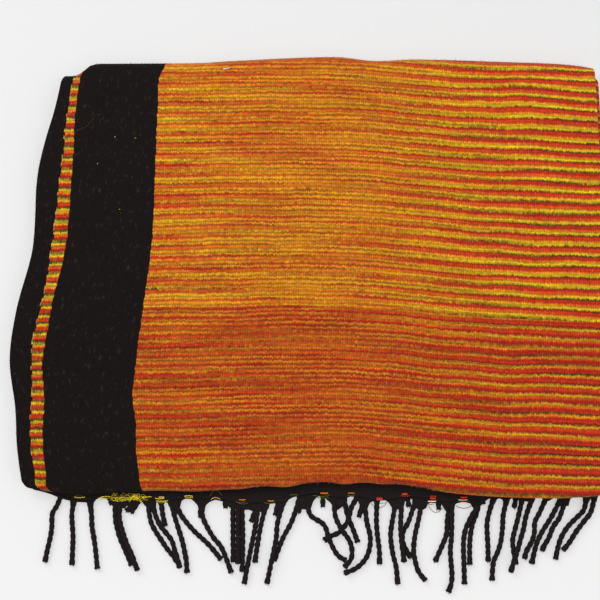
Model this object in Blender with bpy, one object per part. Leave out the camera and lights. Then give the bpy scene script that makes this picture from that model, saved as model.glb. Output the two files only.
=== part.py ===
"""Woven wool blanket, folded once across its width and twice along its length, with corded fringes.

Metres, +Z up. The folded pack lies on z = 0 with its centre over the origin. +X runs from the
selvedges to the fold, and the four fringed hems lie at the front, on the -Y side.
"""

import math

import bmesh
import bpy

# Woven cloth and how its layers stack
SHEET = 0.0020
LAYER_GAP = 0.0008
PITCH = SHEET + LAYER_GAP
PAIR = 2 * PITCH

# Square outline of the pack, before it is settled
LEFT = -0.310
FOLD = 0.327
FRONT = -0.245
BACK = 0.250

# Turns along the length, as radii of the middle of a pair of layers
SMALL_TURN = PAIR / 2
LARGE_TURN = 3 * PAIR / 2
NEST = 0.006
PAIR_HALF = PITCH / 2 + SHEET / 2
FRONT_CENTRE = FRONT + SMALL_TURN + PAIR_HALF
BACK_CENTRE = BACK - LARGE_TURN - PAIR_HALF

# Heights of the middles of the four pairs, the lowest first
PAIR_Z = [PAIR_HALF + PAIR * k for k in range(4)]

# Steps in each run and turn
RUN_STEPS = 10
LARGE_STEPS = 6
SMALL_STEPS = 4
SIDE_STEPS = 4

# Columns across a half width, as shares of the way from the selvedge to the fold
COLUMNS = [0.0, 0.035, 0.07, 0.11, 0.19, 0.29, 0.40, 0.51, 0.62, 0.73, 0.83, 0.91, 0.97, 1.0]

# How far each run of a pair stops short of the square outline:
# (selvedge of the half with the top layer, selvedge of the other half, fold)
RUN_SLACK = [
    (0.006, 0.003, -0.002),
    (0.000, 0.007, 0.000),
    (0.009, 0.004, -0.005),
    (0.011, 0.008, -0.001),
]

# Hems of the two ends: the half with the top layer is drawn back, the other shows
DRAWN_HEM = -0.195
DRAWN_RAMP = 0.105
HEM_STEP = 0.012
LOWER_HEM_BACK = 0.005
HEM_CORNER = -0.275
COLUMN_LEAST = 0.006
CORNER_START = -0.10
CORNER_END = -0.25

# Outlines that show, as (x, y) rows: the front fold, the back fold and the hem below the front fold
FRONT_EDGE = [
    (-0.330, -0.236), (-0.300, -0.244), (-0.262, -0.2485), (-0.228, -0.2485), (-0.170, -0.2440),
    (-0.106, -0.2440), (-0.042, -0.2390), (0.022, -0.2360), (0.085, -0.2365), (0.150, -0.2475),
    (0.230, -0.2527), (0.290, -0.2515), (0.340, -0.2450),
]
BACK_EDGE = [
    (-0.330, 0.2240), (-0.290, 0.2285), (-0.262, 0.2355), (-0.232, 0.2430), (-0.185, 0.2455),
    (-0.100, 0.2480), (0.025, 0.2520), (0.072, 0.2470), (0.120, 0.2490), (0.230, 0.2455),
    (0.300, 0.2420), (0.340, 0.2350),
]
HEM_EDGE = [
    (-0.330, -0.252), (-0.268, -0.2540), (-0.230, -0.2575), (-0.170, -0.2565), (-0.070, -0.2585),
    (0.020, -0.2550), (0.080, -0.2560), (0.160, -0.2590), (0.340, -0.2580),
]

# Selvedge edge of the top layer, as (y, x) rows
LEFT_EDGE = [
    (-0.260, -0.304), (-0.205, -0.3145), (-0.160, -0.3190), (-0.105, -0.3280), (-0.050, -0.3237),
    (0.020, -0.3095), (0.100, -0.3085), (0.150, -0.3020), (0.200, -0.2930), (0.260, -0.2840),
]
SIDE_FADE = 2.5
EDGE_CALM = 0.10
EDGE_FULL = 0.235

# Soft rises and hollows of the pack, each a share of its height:
# (x, y, reach in x, reach in y, rise)
RISES = [
    (-0.30, -0.08, 0.10, 0.20, -0.07),
    (-0.24, 0.16, 0.10, 0.12, 0.05),
    (0.06, -0.02, 0.26, 0.14, 0.05),
    (0.29, 0.08, 0.09, 0.26, 0.07),
    (0.02, 0.25, 0.30, 0.07, 0.06),
    (-0.12, -0.24, 0.22, 0.07, -0.05),
    (0.20, -0.22, 0.16, 0.08, 0.05),
]

# Fringe: warp cords in bunches, one strip of roots for each end of the cloth
PARTING = 0.0004
STRIP = 0.006
CORD_WIDTH = 0.0050
CORD_THICK = 0.0038
BUNCH_PITCH = 0.0293
FIRST_BUNCH = -0.264
LOWER_SHIFT = BUNCH_PITCH / 2
STUB_SHIFT = -BUNCH_PITCH / 4
LOWER_DROP = 0.014
UPPER_DROP = 0.022
STUB_DROOP = 0.0024
CORD_STATIONS = [0.10, 0.24, 0.46, 0.72, 1.0]

# One row for each bunch, from the selvedges to the fold:
# (upper cord's lean, its reach, lower cord's lean, its reach, how far the drawn-back cords show)
BUNCHES = [
    (-0.22, 0.062, 0.01, 0.064, 0.003),
    (0.15, 0.065, 0.26, 0.062, 0.005),
    (0.33, 0.065, 0.42, 0.064, 0.008),
    (0.40, 0.059, 0.36, 0.066, 0.004),
    (0.42, 0.056, 0.38, 0.060, 0.006),
    (0.34, 0.054, 0.27, 0.058, 0.009),
    (0.14, 0.055, 0.07, 0.057, 0.003),
    (-0.03, 0.064, -0.10, 0.070, 0.009),
    (-0.15, 0.074, -0.21, 0.058, 0.006),
    (0.10, 0.055, 0.08, 0.058, 0.007),
    (0.17, 0.060, 0.12, 0.044, 0.003),
    (0.00, 0.042, -0.03, 0.058, 0.008),
    (0.02, 0.078, 0.00, 0.058, 0.003),
    (-0.04, 0.040, -0.06, 0.070, 0.009),
    (-0.05, 0.082, -0.10, 0.048, 0.004),
    (-0.14, 0.076, -0.17, 0.053, 0.006),
    (-0.20, 0.060, -0.24, 0.078, 0.007),
    (-0.28, 0.068, -0.32, 0.062, 0.003),
    (-0.40, 0.057, -0.46, 0.050, 0.004),
    (-0.54, 0.049, -0.60, 0.056, 0.003),
]


def smooth(share):
    """Eases a share from 0 to 1."""
    share = min(1.0, max(0.0, share))
    return share * share * (3.0 - 2.0 * share)


def mix(low, high, share):
    return low + (high - low) * share


def read_curve(rows, place):
    """Reads a table of (place, value) rows on a smooth curve through them."""
    place = min(rows[-1][0], max(rows[0][0], place))
    index = 0
    while index < len(rows) - 2 and place > rows[index + 1][0]:
        index += 1

    def slope(k):
        low, high = max(k - 1, 0), min(k + 1, len(rows) - 1)
        return (rows[high][1] - rows[low][1]) / (rows[high][0] - rows[low][0])

    (start, value), (end, next_value) = rows[index], rows[index + 1]
    span = end - start
    share = (place - start) / span
    eased = smooth(share)
    bend = share * (1.0 - share) * span
    return mix(value, next_value, eased) + bend * (slope(index) * (1.0 - share) - slope(index + 1) * share)


def settle(x, y, z):
    """Moves a point of the square pack to where the folded blanket lies."""
    edge_span = EDGE_FULL - EDGE_CALM
    front = smooth((-y - EDGE_CALM) / edge_span) * (read_curve(FRONT_EDGE, x) - FRONT)
    back = smooth((y - EDGE_CALM) / edge_span) * (read_curve(BACK_EDGE, x) - BACK)
    fade = max(0.0, (FOLD - x) / (FOLD - LEFT)) ** SIDE_FADE
    side = fade * (read_curve(LEFT_EDGE, y) - LEFT)
    rise = 0.0
    for centre_x, centre_y, reach_x, reach_y, height in RISES:
        rise += height * math.exp(-((x - centre_x) / reach_x) ** 2 - ((y - centre_y) / reach_y) ** 2)
    return x + side, y + front + back, z * (1.0 + rise)


def run_rows(stop):
    """The places along a run, from the front turn to the stop at the back."""
    step = (BACK_CENTRE - FRONT_CENTRE) / RUN_STEPS
    return [FRONT_CENTRE + step * k for k in range(RUN_STEPS)] + [stop]


def turn_stations(run, centre_y, centre_z, radius, first, last, steps, facing):
    """The stations inside a turn, as (run, y, z, normal y, normal z)."""
    stations = []
    for k in range(1, steps):
        share = k / steps
        angle = math.radians(mix(first, last, share))
        cos, sin = math.cos(angle), math.sin(angle)
        stations.append((run + share, centre_y + radius * cos, centre_z + radius * sin,
                         facing * cos, facing * sin))
    return stations


def length_path():
    """The way of a pair of layers from the lower hem to the upper one, without the two hems."""
    low, second, third, top = PAIR_Z
    inner_back = BACK_CENTRE - NEST
    stations = [(0, y, low, 0.0, 1.0) for y in run_rows(BACK_CENTRE)]
    stations += turn_stations(0, BACK_CENTRE, (low + top) / 2, LARGE_TURN, -90, 90, LARGE_STEPS, -1)
    stations += [(1, y, top, 0.0, -1.0) for y in reversed(run_rows(BACK_CENTRE))]
    stations += turn_stations(1, FRONT_CENTRE, (third + top) / 2, SMALL_TURN, 90, 270, SMALL_STEPS, -1)
    stations += [(2, y, third, 0.0, 1.0) for y in run_rows(inner_back)]
    stations += turn_stations(2, inner_back, (second + third) / 2, SMALL_TURN, 90, -90, SMALL_STEPS, 1)
    stations += [(3, y, second, 0.0, -1.0) for y in reversed(run_rows(inner_back))]
    return stations


def run_slack(run):
    """Reads the slack table at a place between two runs."""
    low = min(int(run), len(RUN_SLACK) - 2)
    return [mix(a, b, run - low) for a, b in zip(RUN_SLACK[low], RUN_SLACK[low + 1])]


def column_places(left, centre):
    """The columns of a half: at the same places in every layer, but for those at its selvedge."""
    places = [max(mix(LEFT, centre, share), left + COLUMN_LEAST * k) for k, share in enumerate(COLUMNS)]
    return [left] + places[1:]


def section(run, y):
    """The hairpin of a pair, from the showing half's selvedge round the fold to the other's.

    Each node is (is the drawn-back half, x, offset from the pair's middle, normal x, normal offset).
    """
    top_slack, other_slack, fold_slack = run_slack(run)
    centre = FOLD - fold_slack - PAIR_HALF
    corner = smooth((CORNER_START - y) / (CORNER_START - CORNER_END)) if run in (0, 3) else 0.0
    other_left = mix(LEFT + other_slack, HEM_CORNER, corner)
    nodes = [(False, x, PITCH / 2, 0.0, 1.0) for x in column_places(other_left, centre)]
    for k in range(1, SIDE_STEPS):
        angle = math.radians(90 - 180 * k / SIDE_STEPS)
        cos, sin = math.cos(angle), math.sin(angle)
        nodes.append((False, centre + PITCH / 2 * cos, PITCH / 2 * sin, cos, sin))
    top_columns = column_places(LEFT + top_slack, centre)
    nodes += [(True, x, -PITCH / 2, 0.0, -1.0) for x in reversed(top_columns)]
    return nodes


def hem_place(run, drawn, x):
    """Where the hem lies at x, in the square pack."""
    shown = read_curve(HEM_EDGE, x) - (read_curve(FRONT_EDGE, x) - FRONT)
    if run == 0:
        shown += LOWER_HEM_BACK
    if not drawn:
        return shown
    return mix(shown, DRAWN_HEM, smooth((FOLD - x) / DRAWN_RAMP))


def station_ring(station, order):
    """The closed ring of points of the cloth at a station.

    order is 0 at a hem, counts the stations from the nearest hem along its run, and is None elsewhere.
    """
    run, y, z, normal_y, normal_z = station
    sides = []
    for side in (1.0, -1.0):
        points = []
        for drawn, x, offset, normal_x, normal_t in section(run, y):
            reach = offset + side * SHEET / 2 * normal_t
            place = y
            if order == 0:
                place = hem_place(run, drawn, x)
            elif order is not None:
                place = max(y, hem_place(run, drawn, x) + HEM_STEP * order)
            points.append(settle(x + side * SHEET / 2 * normal_x, place + reach * normal_y,
                                 z + reach * normal_z))
        sides.append(points)
    return sides[0] + sides[1][::-1]


def add_quad(mesh, quad):
    """Adds a quad as two triangles, cut from front left to back right in every layer."""
    sums = [vert.co.x + vert.co.y for vert in quad]
    a, b, c, d = quad
    if abs(sums[0] - sums[2]) >= abs(sums[1] - sums[3]):
        mesh.faces.new((a, b, c))
        mesh.faces.new((a, c, d))
    else:
        mesh.faces.new((a, b, d))
        mesh.faces.new((b, c, d))


def bridge(mesh, ring, next_ring):
    """Joins two closed rings of the same number of points."""
    for k, vert in enumerate(ring):
        following = (k + 1) % len(ring)
        add_quad(mesh, (vert, ring[following], next_ring[following], next_ring[k]))


def end_quads(ring):
    """The quads that close a ring, each between the two faces of the cloth."""
    last = len(ring) - 1
    return [(ring[k], ring[k + 1], ring[last - k - 1], ring[last - k]) for k in range(len(ring) // 2 - 1)]


def wool(name, colour, roughness):
    material = bpy.data.materials.new(name)
    material.use_nodes = True
    shader = material.node_tree.nodes["Principled BSDF"]
    shader.inputs["Base Color"].default_value = (*colour, 1.0)
    shader.inputs["Roughness"].default_value = roughness
    shader.inputs["Metallic"].default_value = 0.0
    return material


def finish_object(mesh, name, material):
    """Turns the faces outwards and puts the solid in the scene."""
    bmesh.ops.recalc_face_normals(mesh, faces=mesh.faces)
    data = bpy.data.meshes.new(name)
    mesh.to_mesh(data)
    mesh.free()
    data.materials.append(material)
    piece = bpy.data.objects.new(name, data)
    bpy.context.scene.collection.objects.link(piece)
    return piece


def cloth_rings():
    """The rings of the whole cloth, from the lower hem to the upper one."""
    stations = length_path()
    run_count = RUN_STEPS + 1
    rings = [station_ring(stations[0], 0)]
    for k, station in enumerate(stations):
        from_end = len(stations) - 1 - k
        order = None
        if k < run_count:
            order = k + 1
        elif from_end < run_count:
            order = from_end + 1
        rings.append(station_ring(station, order))
    rings.append(station_ring(stations[-1], 0))
    return rings


def make_cloth(rings):
    mesh = bmesh.new()
    loops = [[mesh.verts.new(point) for point in ring] for ring in rings]
    for ring, next_ring in zip(loops, loops[1:]):
        bridge(mesh, ring, next_ring)
    for ring in (loops[0], loops[-1]):
        for quad in end_quads(ring):
            add_quad(mesh, quad)
    return finish_object(mesh, "woven_cloth", wool("woven wool", (0.47, 0.19, 0.05), 0.9))


def along_hem(points, x):
    """Reads the hem's own straight stretches at x, as (y, z)."""
    for (x0, y0, z0), (x1, y1, z1) in zip(points, points[1:]):
        if min(x0, x1) <= x <= max(x0, x1):
            share = (x - x0) / (x1 - x0)
            return mix(y0, y1, share), mix(z0, z1, share)
    return points[-1][1:]


def root_places(drawn, upper):
    """The x of each cord's root on a half, from the selvedge to the fold."""
    shift = STUB_SHIFT
    if not drawn:
        shift = 0.0 if upper else LOWER_SHIFT
    return [FIRST_BUNCH + BUNCH_PITCH * k + shift for k in range(len(BUNCHES))]


def strip_places(hem, roots):
    """The places along a half, from the selvedge to the fold, each with the root it bounds or None."""
    clear = CORD_WIDTH / 2 + PARTING
    places = [(x, None) for x, y, z in hem if all(abs(x - root) > clear for root in roots)]
    for bunch, root in enumerate(roots):
        places += [(root - CORD_WIDTH / 2, bunch), (root + CORD_WIDTH / 2, bunch)]
    return sorted(places, key=lambda place: place[0])


def strip_side(points, upper):
    """One face of the strip of roots, as points on the hem with the root that each bounds."""
    columns = len(COLUMNS)
    shown, drawn = points[:columns - 1], points[len(points) - columns + 1:][::-1]
    rows = []
    for is_drawn, hem in ((False, shown), (True, drawn)):
        line = hem + [points[columns - 1] if not is_drawn else points[-columns]]
        places = strip_places(hem, root_places(is_drawn, upper))
        rows.append([((x, *along_hem(line, x)), bunch) for x, bunch in places])
    fold = [(point, None) for point in points[columns - 1:len(points) - columns + 1]]
    return rows[0] + fold + rows[1][::-1]


def cord_route(root_x, root_y, root_z, bunch, kind):
    """The way of a cord from its root, as (x, y, bottom, thickness) rows.

    kind is "upper" or "lower" for the cords of the hems that show, else "high" or "flat" for those
    of the hems that are drawn back above or below them.
    """
    upper_lean, upper_reach, lower_lean, lower_reach, showing = BUNCHES[bunch]
    rows = []
    if kind in ("upper", "lower"):
        lean, reach, drop = (upper_lean, upper_reach, UPPER_DROP) if kind == "upper" else (
            lower_lean, lower_reach, LOWER_DROP)
        for share in CORD_STATIONS:
            out = reach * share
            fall = smooth(out / drop)
            rows.append((root_x + lean * out, root_y - out, root_z * (1.0 - fall),
                         mix(SHEET, CORD_THICK, fall)))
        return lean, rows
    lean = mix(upper_lean, BUNCHES[max(bunch - 1, 0)][2], 0.5)
    hem_front = read_curve(HEM_EDGE, root_x) - PARTING - STRIP - PARTING
    tip = hem_front - showing
    droop, lean_start = (STUB_DROOP, hem_front) if kind == "high" else (0.0, hem_front + STRIP)
    middle = mix(root_y, hem_front, 0.5)
    for place, sink in ((middle, 0.0), (hem_front, 0.0), (tip, droop)):
        lean_run = max(0.0, lean_start - place)
        rows.append((root_x + lean * lean_run, place, root_z - sink, SHEET))
    return lean, rows


def grow_cord(mesh, quad, bunch, kind):
    """Grows a four-sided cord out of a quad of the strip's front."""
    left, right = sorted(quad, key=lambda vert: vert.co.x)[:2], sorted(quad, key=lambda vert: vert.co.x)[2:]
    left.sort(key=lambda vert: vert.co.z)
    right.sort(key=lambda vert: vert.co.z)
    ring = [left[0], right[0], right[1], left[1]]
    root_x = (left[0].co.x + right[0].co.x) / 2
    root_y = (left[0].co.y + right[0].co.y) / 2
    root_z = (left[0].co.z + right[0].co.z) / 2
    lean, rows = cord_route(root_x, root_y, root_z, bunch, kind)
    half = CORD_WIDTH / 2 * math.sqrt(1.0 + lean * lean)
    for k, (x, y, bottom, thick) in enumerate(rows):
        wide = half if k else mix(CORD_WIDTH / 2, half, 0.5)
        corners = [(x - wide, y, bottom), (x + wide, y, bottom),
                   (x + wide, y, bottom + thick), (x - wide, y, bottom + thick)]
        next_ring = [mesh.verts.new(corner) for corner in corners]
        bridge(mesh, ring, next_ring)
        ring = next_ring
    add_quad(mesh, ring)


def make_fringe(name, hem_ring, upper, material):
    """The strip of roots in front of one end of the cloth, with its cords."""
    count = len(hem_ring) // 2
    sides = [strip_side(face, upper) for face in (hem_ring[:count], hem_ring[count:][::-1])]
    marks = [bunch for point, bunch in sides[0]]
    fold = marks.index(None, marks.index(len(BUNCHES) - 1))
    mesh = bmesh.new()
    loops = []
    for back in (PARTING, PARTING + STRIP):
        points = [point for point, bunch in sides[0] + sides[1][::-1]]
        loops.append([mesh.verts.new((x, y - back, z)) for x, y, z in points])
    bridge(mesh, loops[0], loops[1])
    for quad in end_quads(loops[0]):
        add_quad(mesh, quad)
    for k, quad in enumerate(end_quads(loops[1])):
        if marks[k] is None or marks[k] != marks[k + 1]:
            add_quad(mesh, quad)
        elif k < fold:
            grow_cord(mesh, quad, marks[k], "upper" if upper else "lower")
        else:
            grow_cord(mesh, quad, marks[k], "high" if upper else "flat")
    return finish_object(mesh, name, material)


def main():
    for old in list(bpy.data.objects):
        bpy.data.objects.remove(old, do_unlink=True)
    rings = cloth_rings()
    make_cloth(rings)
    black_wool = wool("black warp wool", (0.012, 0.010, 0.010), 0.95)
    make_fringe("fringe_lower", rings[0], False, black_wool)
    make_fringe("fringe_upper", rings[-1], True, black_wool)


main()
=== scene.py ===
"""Looks of the folded wool blanket: the fine cloth, its woven colours, twisted cords and loose weft."""

import math
import random

import bmesh
import bpy
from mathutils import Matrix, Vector, noise
from mathutils.bvhtree import BVHTree
from mathutils.kdtree import KDTree


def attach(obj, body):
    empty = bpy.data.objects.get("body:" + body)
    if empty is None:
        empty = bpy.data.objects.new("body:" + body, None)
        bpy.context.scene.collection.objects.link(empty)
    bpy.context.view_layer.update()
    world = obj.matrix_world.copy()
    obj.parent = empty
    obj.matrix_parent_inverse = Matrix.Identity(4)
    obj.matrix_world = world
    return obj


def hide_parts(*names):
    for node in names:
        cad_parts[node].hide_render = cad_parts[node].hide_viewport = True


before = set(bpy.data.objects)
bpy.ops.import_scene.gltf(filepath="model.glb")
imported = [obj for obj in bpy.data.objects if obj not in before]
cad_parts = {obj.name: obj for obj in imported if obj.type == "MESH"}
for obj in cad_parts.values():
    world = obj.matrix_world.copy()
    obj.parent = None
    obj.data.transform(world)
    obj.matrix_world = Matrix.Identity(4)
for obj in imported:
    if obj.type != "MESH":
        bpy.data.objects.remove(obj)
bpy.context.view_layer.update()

# Layers of cloth, as in the part's source: their spacing and the square outline of the pack
PITCH = 0.0028
PAIR = 2 * PITCH
LEFT = -0.310
FOLD = 0.327
FRONT = -0.245
BACK = 0.250
SOLID_SHEET = 0.0020

# The cloth that shows is a little thicker than the solid's, so its layers nearly touch
SHEET = 0.0023

# Turns along the length, as radii of the middle of a pair of layers
SMALL_TURN = PAIR / 2
LARGE_TURN = 3 * PAIR / 2
NEST = 0.006
PAIR_HALF = PITCH / 2 + SOLID_SHEET / 2
FRONT_CENTRE = FRONT + SMALL_TURN + PAIR_HALF
BACK_CENTRE = BACK - LARGE_TURN - PAIR_HALF
PAIR_Z = [PAIR_HALF + PAIR * k for k in range(4)]

# Fine steps in each run and turn, and between the columns across a half width
TOP_STEPS = 104
HIDDEN_STEPS = 24
LARGE_STEPS = 16
SMALL_STEPS = 10
SIDE_STEPS = 7
COLUMN_STEP = 0.0072

# Rounded edges of the cloth, as (distance from the edge, share of the full thickness)
EDGE_ROUNDING = [(0.0, 0.35), (0.0004, 0.72), (0.0012, 0.94), (0.0024, 1.0)]

# How far each run of a pair stops short of the square outline:
# (selvedge of the half with the top layer, selvedge of the other half, fold)
RUN_SLACK = [
    (0.006, 0.003, -0.002),
    (0.000, 0.007, 0.000),
    (0.009, 0.004, -0.005),
    (0.011, 0.008, -0.001),
]

# Hems of the two ends: the half with the top layer is drawn back, the other shows
DRAWN_HEM = -0.195
DRAWN_RAMP = 0.105
HEM_STEP = 0.007
HEM_BORDER = 9
LOWER_HEM_BACK = 0.006
HEM_CORNER = -0.275
CORNER_START = -0.10
CORNER_END = -0.25

# Outlines that show, as (x, y) rows: the front fold, the back fold and the hem below the front fold
FRONT_EDGE = [
    (-0.330, -0.236), (-0.300, -0.244), (-0.262, -0.2485), (-0.228, -0.2487), (-0.170, -0.2460),
    (-0.106, -0.2456), (-0.042, -0.2403), (0.022, -0.2380), (0.085, -0.2383), (0.150, -0.2488),
    (0.230, -0.2538), (0.290, -0.2528), (0.340, -0.2462),
]
BACK_EDGE = [
    (-0.330, 0.2280), (-0.310, 0.2283), (-0.294, 0.2290), (-0.284, 0.2350), (-0.276, 0.2415),
    (-0.268, 0.2434), (-0.250, 0.2436), (-0.185, 0.2440), (-0.137, 0.2446), (-0.100, 0.2470),
    (0.025, 0.2520), (0.072, 0.2470), (0.120, 0.2490), (0.230, 0.2455), (0.300, 0.2420), (0.340, 0.2350),
]
HEM_EDGE = [
    (-0.330, -0.2370), (-0.300, -0.2425), (-0.290, -0.2438), (-0.280, -0.2458), (-0.272, -0.2480),
    (-0.263, -0.2508), (-0.253, -0.2545), (-0.237, -0.2556), (-0.230, -0.2532), (-0.223, -0.2517),
    (-0.214, -0.2524), (-0.200, -0.2536), (-0.183, -0.2536), (-0.173, -0.2552), (-0.166, -0.2562),
    (-0.156, -0.2556), (-0.143, -0.2538), (-0.132, -0.2529), (-0.119, -0.2532), (-0.111, -0.2540),
    (-0.103, -0.2536), (-0.093, -0.2550), (-0.084, -0.2572), (-0.077, -0.2582), (-0.061, -0.2580),
    (-0.042, -0.2572), (-0.032, -0.2545), (-0.019, -0.2502), (-0.010, -0.2500), (0.007, -0.2500),
    (0.020, -0.2520), (0.030, -0.2516), (0.042, -0.2504), (0.054, -0.2520), (0.064, -0.2546),
    (0.078, -0.2542), (0.091, -0.2532), (0.104, -0.2518), (0.116, -0.2540), (0.129, -0.2566),
    (0.148, -0.2564), (0.162, -0.2558), (0.175, -0.2546), (0.187, -0.2532), (0.198, -0.2518),
    (0.218, -0.2512), (0.266, -0.2510), (0.340, -0.2505),
]

# Where the warp ends beyond the showing hem, in millimetres: arches between the bunches of cords
WARP_EDGE = [
    (-299.0, -244.2), (-290.0, -246.2), (-279.7, -249.2), (-271.2, -252.6), (-265.1, -254.6),
    (-259.0, -256.1), (-252.4, -257.4), (-242.5, -257.8), (-238.7, -258.4), (-233.2, -258.3),
    (-230.7, -254.5), (-226.9, -252.6), (-220.9, -253.3), (-218.5, -255.5), (-215.1, -259.5),
    (-211.2, -263.7), (-200.0, -264.2), (-197.4, -261.1), (-194.7, -260.9), (-192.0, -261.6),
    (-185.8, -257.4), (-184.2, -254.9), (-181.5, -257.2), (-179.3, -260.6), (-174.3, -264.8),
    (-169.7, -259.5), (-168.9, -258.0), (-163.5, -257.8), (-161.6, -261.6), (-158.5, -261.6),
    (-157.5, -257.8), (-154.3, -257.8), (-153.1, -261.6), (-148.1, -267.9), (-140.7, -263.7),
    (-140.0, -259.2), (-139.0, -256.1), (-135.7, -254.1), (-129.2, -254.1), (-125.9, -257.0),
    (-122.6, -260.4), (-119.3, -264.8), (-114.0, -263.7), (-113.1, -260.7), (-109.2, -257.3),
    (-103.1, -255.0), (-96.3, -256.6), (-91.5, -259.3), (-88.0, -263.2), (-80.0, -264.8), (-78.5, -260.9),
    (-76.0, -260.0), (-74.9, -262.7), (-72.3, -265.8), (-67.0, -265.6), (-61.6, -267.9), (-53.1, -267.9),
    (-46.0, -264.8), (-44.8, -259.4), (-38.9, -258.9), (-37.3, -261.1), (-33.9, -266.9), (-29.6, -263.2),
    (-28.3, -260.1), (-24.0, -254.5), (-18.5, -251.3), (-14.0, -252.1), (-13.6, -257.4), (-11.4, -264.8),
    (-1.3, -265.8), (0.1, -261.6), (1.9, -256.6), (5.4, -252.5), (9.5, -251.2), (14.9, -253.9),
    (19.7, -257.9), (23.7, -263.3), (28.1, -265.8), (33.9, -261.6), (34.9, -257.9), (37.5, -253.3),
    (41.6, -251.6), (45.6, -251.9), (49.0, -254.9), (50.6, -259.5), (54.8, -264.8), (59.9, -264.2),
    (61.0, -261.2), (62.8, -258.0), (67.4, -256.2), (72.9, -256.2), (78.4, -255.5), (82.5, -257.9),
    (85.1, -262.7), (90.0, -265.8), (96.9, -263.7), (98.0, -260.6), (100.6, -255.9), (104.8, -253.0),
    (108.2, -255.3), (110.2, -258.7), (111.3, -263.7), (116.7, -266.9), (122.8, -263.7), (123.9, -259.7),
    (127.2, -258.3), (132.6, -258.7), (138.3, -259.1), (140.3, -262.2), (142.5, -266.4), (147.6, -269.0),
    (152.4, -264.8), (153.4, -259.7), (155.9, -258.7), (162.7, -257.3), (169.5, -258.9), (172.6, -263.7),
    (176.5, -266.9), (179.4, -262.7), (181.7, -258.0), (185.1, -257.6), (188.7, -254.5), (191.9, -253.6),
    (192.6, -257.4), (194.9, -260.6), (197.3, -256.9), (198.7, -254.4), (201.0, -253.6), (204.2, -254.9),
    (205.2, -258.4), (208.2, -261.6), (211.3, -258.4), (212.5, -254.2), (214.0, -253.8), (219.7, -253.8),
    (221.4, -255.3), (222.6, -258.6), (229.5, -256.6), (234.9, -258.6), (236.5, -255.9), (239.2, -253.6),
    (246.1, -253.2), (248.7, -255.9), (249.4, -258.0), (255.6, -255.6), (256.9, -254.6), (259.4, -253.4),
    (262.5, -253.2), (263.7, -255.9), (264.9, -261.6), (275.0, -261.6), (276.8, -254.2), (279.7, -252.7),
    (285.8, -251.9), (291.5, -253.2), (292.4, -256.3), (295.4, -259.5), (297.8, -255.9), (299.0, -253.2),
    (301.6, -253.2), (302.3, -255.3), (305.2, -257.4),
]
WARP_TUCK = 0.0022
WARP_COLUMN = 0.0010
WARP_HALF = 0.0011

# Ripples of the front fold, as (x, reach, how far it stands forward)
FRONT_RIPPLES = [
    (-0.075, 0.010, 0.0012), (-0.028, 0.014, 0.0028), (0.036, 0.010, 0.0018), (0.075, 0.012, 0.0016),
    (-0.002, 0.010, -0.0012), (0.015, 0.009, -0.0014), (-0.130, 0.016, 0.0008), (0.118, 0.012, -0.0010),
]

# Selvedge edge of the top layer, as (y, x) rows
LEFT_EDGE = [
    (-0.260, -0.304), (-0.205, -0.3145), (-0.160, -0.3190), (-0.105, -0.3280), (-0.050, -0.3237),
    (0.020, -0.3095), (0.100, -0.3085), (0.150, -0.3020), (0.200, -0.2930), (0.260, -0.2840),
]
SIDE_FADE = 2.5
EDGE_CALM = 0.10
EDGE_FULL = 0.235

# Soft rises and hollows of the pack, each a share of its height:
# (x, y, reach in x, reach in y, rise)
RISES = [
    (-0.30, -0.08, 0.10, 0.20, -0.07),
    (-0.24, 0.16, 0.10, 0.12, 0.05),
    (0.06, -0.02, 0.26, 0.14, 0.05),
    (0.29, 0.08, 0.09, 0.26, 0.07),
    (0.02, 0.25, 0.30, 0.07, 0.06),
    (-0.12, -0.24, 0.22, 0.07, -0.05),
    (0.20, -0.22, 0.16, 0.08, 0.05),
]

# Creases of the top layer, as (x, y) of both ends, width and height; troughs are below 0
CREASES = [
    (-0.018, -0.066, 0.045, -0.040, 0.008, 0.0013),
    (0.045, -0.040, 0.150, -0.050, 0.011, 0.0012),
    (0.000, -0.078, 0.050, -0.060, 0.006, -0.0010),
    (0.090, 0.190, 0.112, -0.020, 0.026, 0.0011),
    (0.112, -0.020, 0.100, -0.200, 0.024, 0.0015),
    (0.046, -0.178, 0.100, -0.184, 0.007, 0.0012),
    (0.050, -0.190, 0.110, -0.197, 0.006, -0.0008),
    (-0.060, -0.212, 0.030, -0.206, 0.009, 0.0011),
    (0.222, 0.232, 0.250, 0.150, 0.012, 0.0012),
    (-0.232, 0.240, -0.300, 0.040, 0.010, 0.0009),
    (-0.262, -0.100, -0.300, -0.175, 0.012, -0.0008),
    (0.268, -0.020, 0.300, -0.190, 0.014, 0.0008),
]
RELIEF_BASE = 0.0011
RELIEF_NOISE = 0.0007

# Woven bands across a half width, from the selvedge: black edge, coloured stripe, black band
BLACK_EDGE = 0.025
STRIPE = 0.0165
BLACK_BAND = 0.100
HALF_WIDTH = 0.637
FOLD_HALF = math.pi * PITCH / 4

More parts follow.
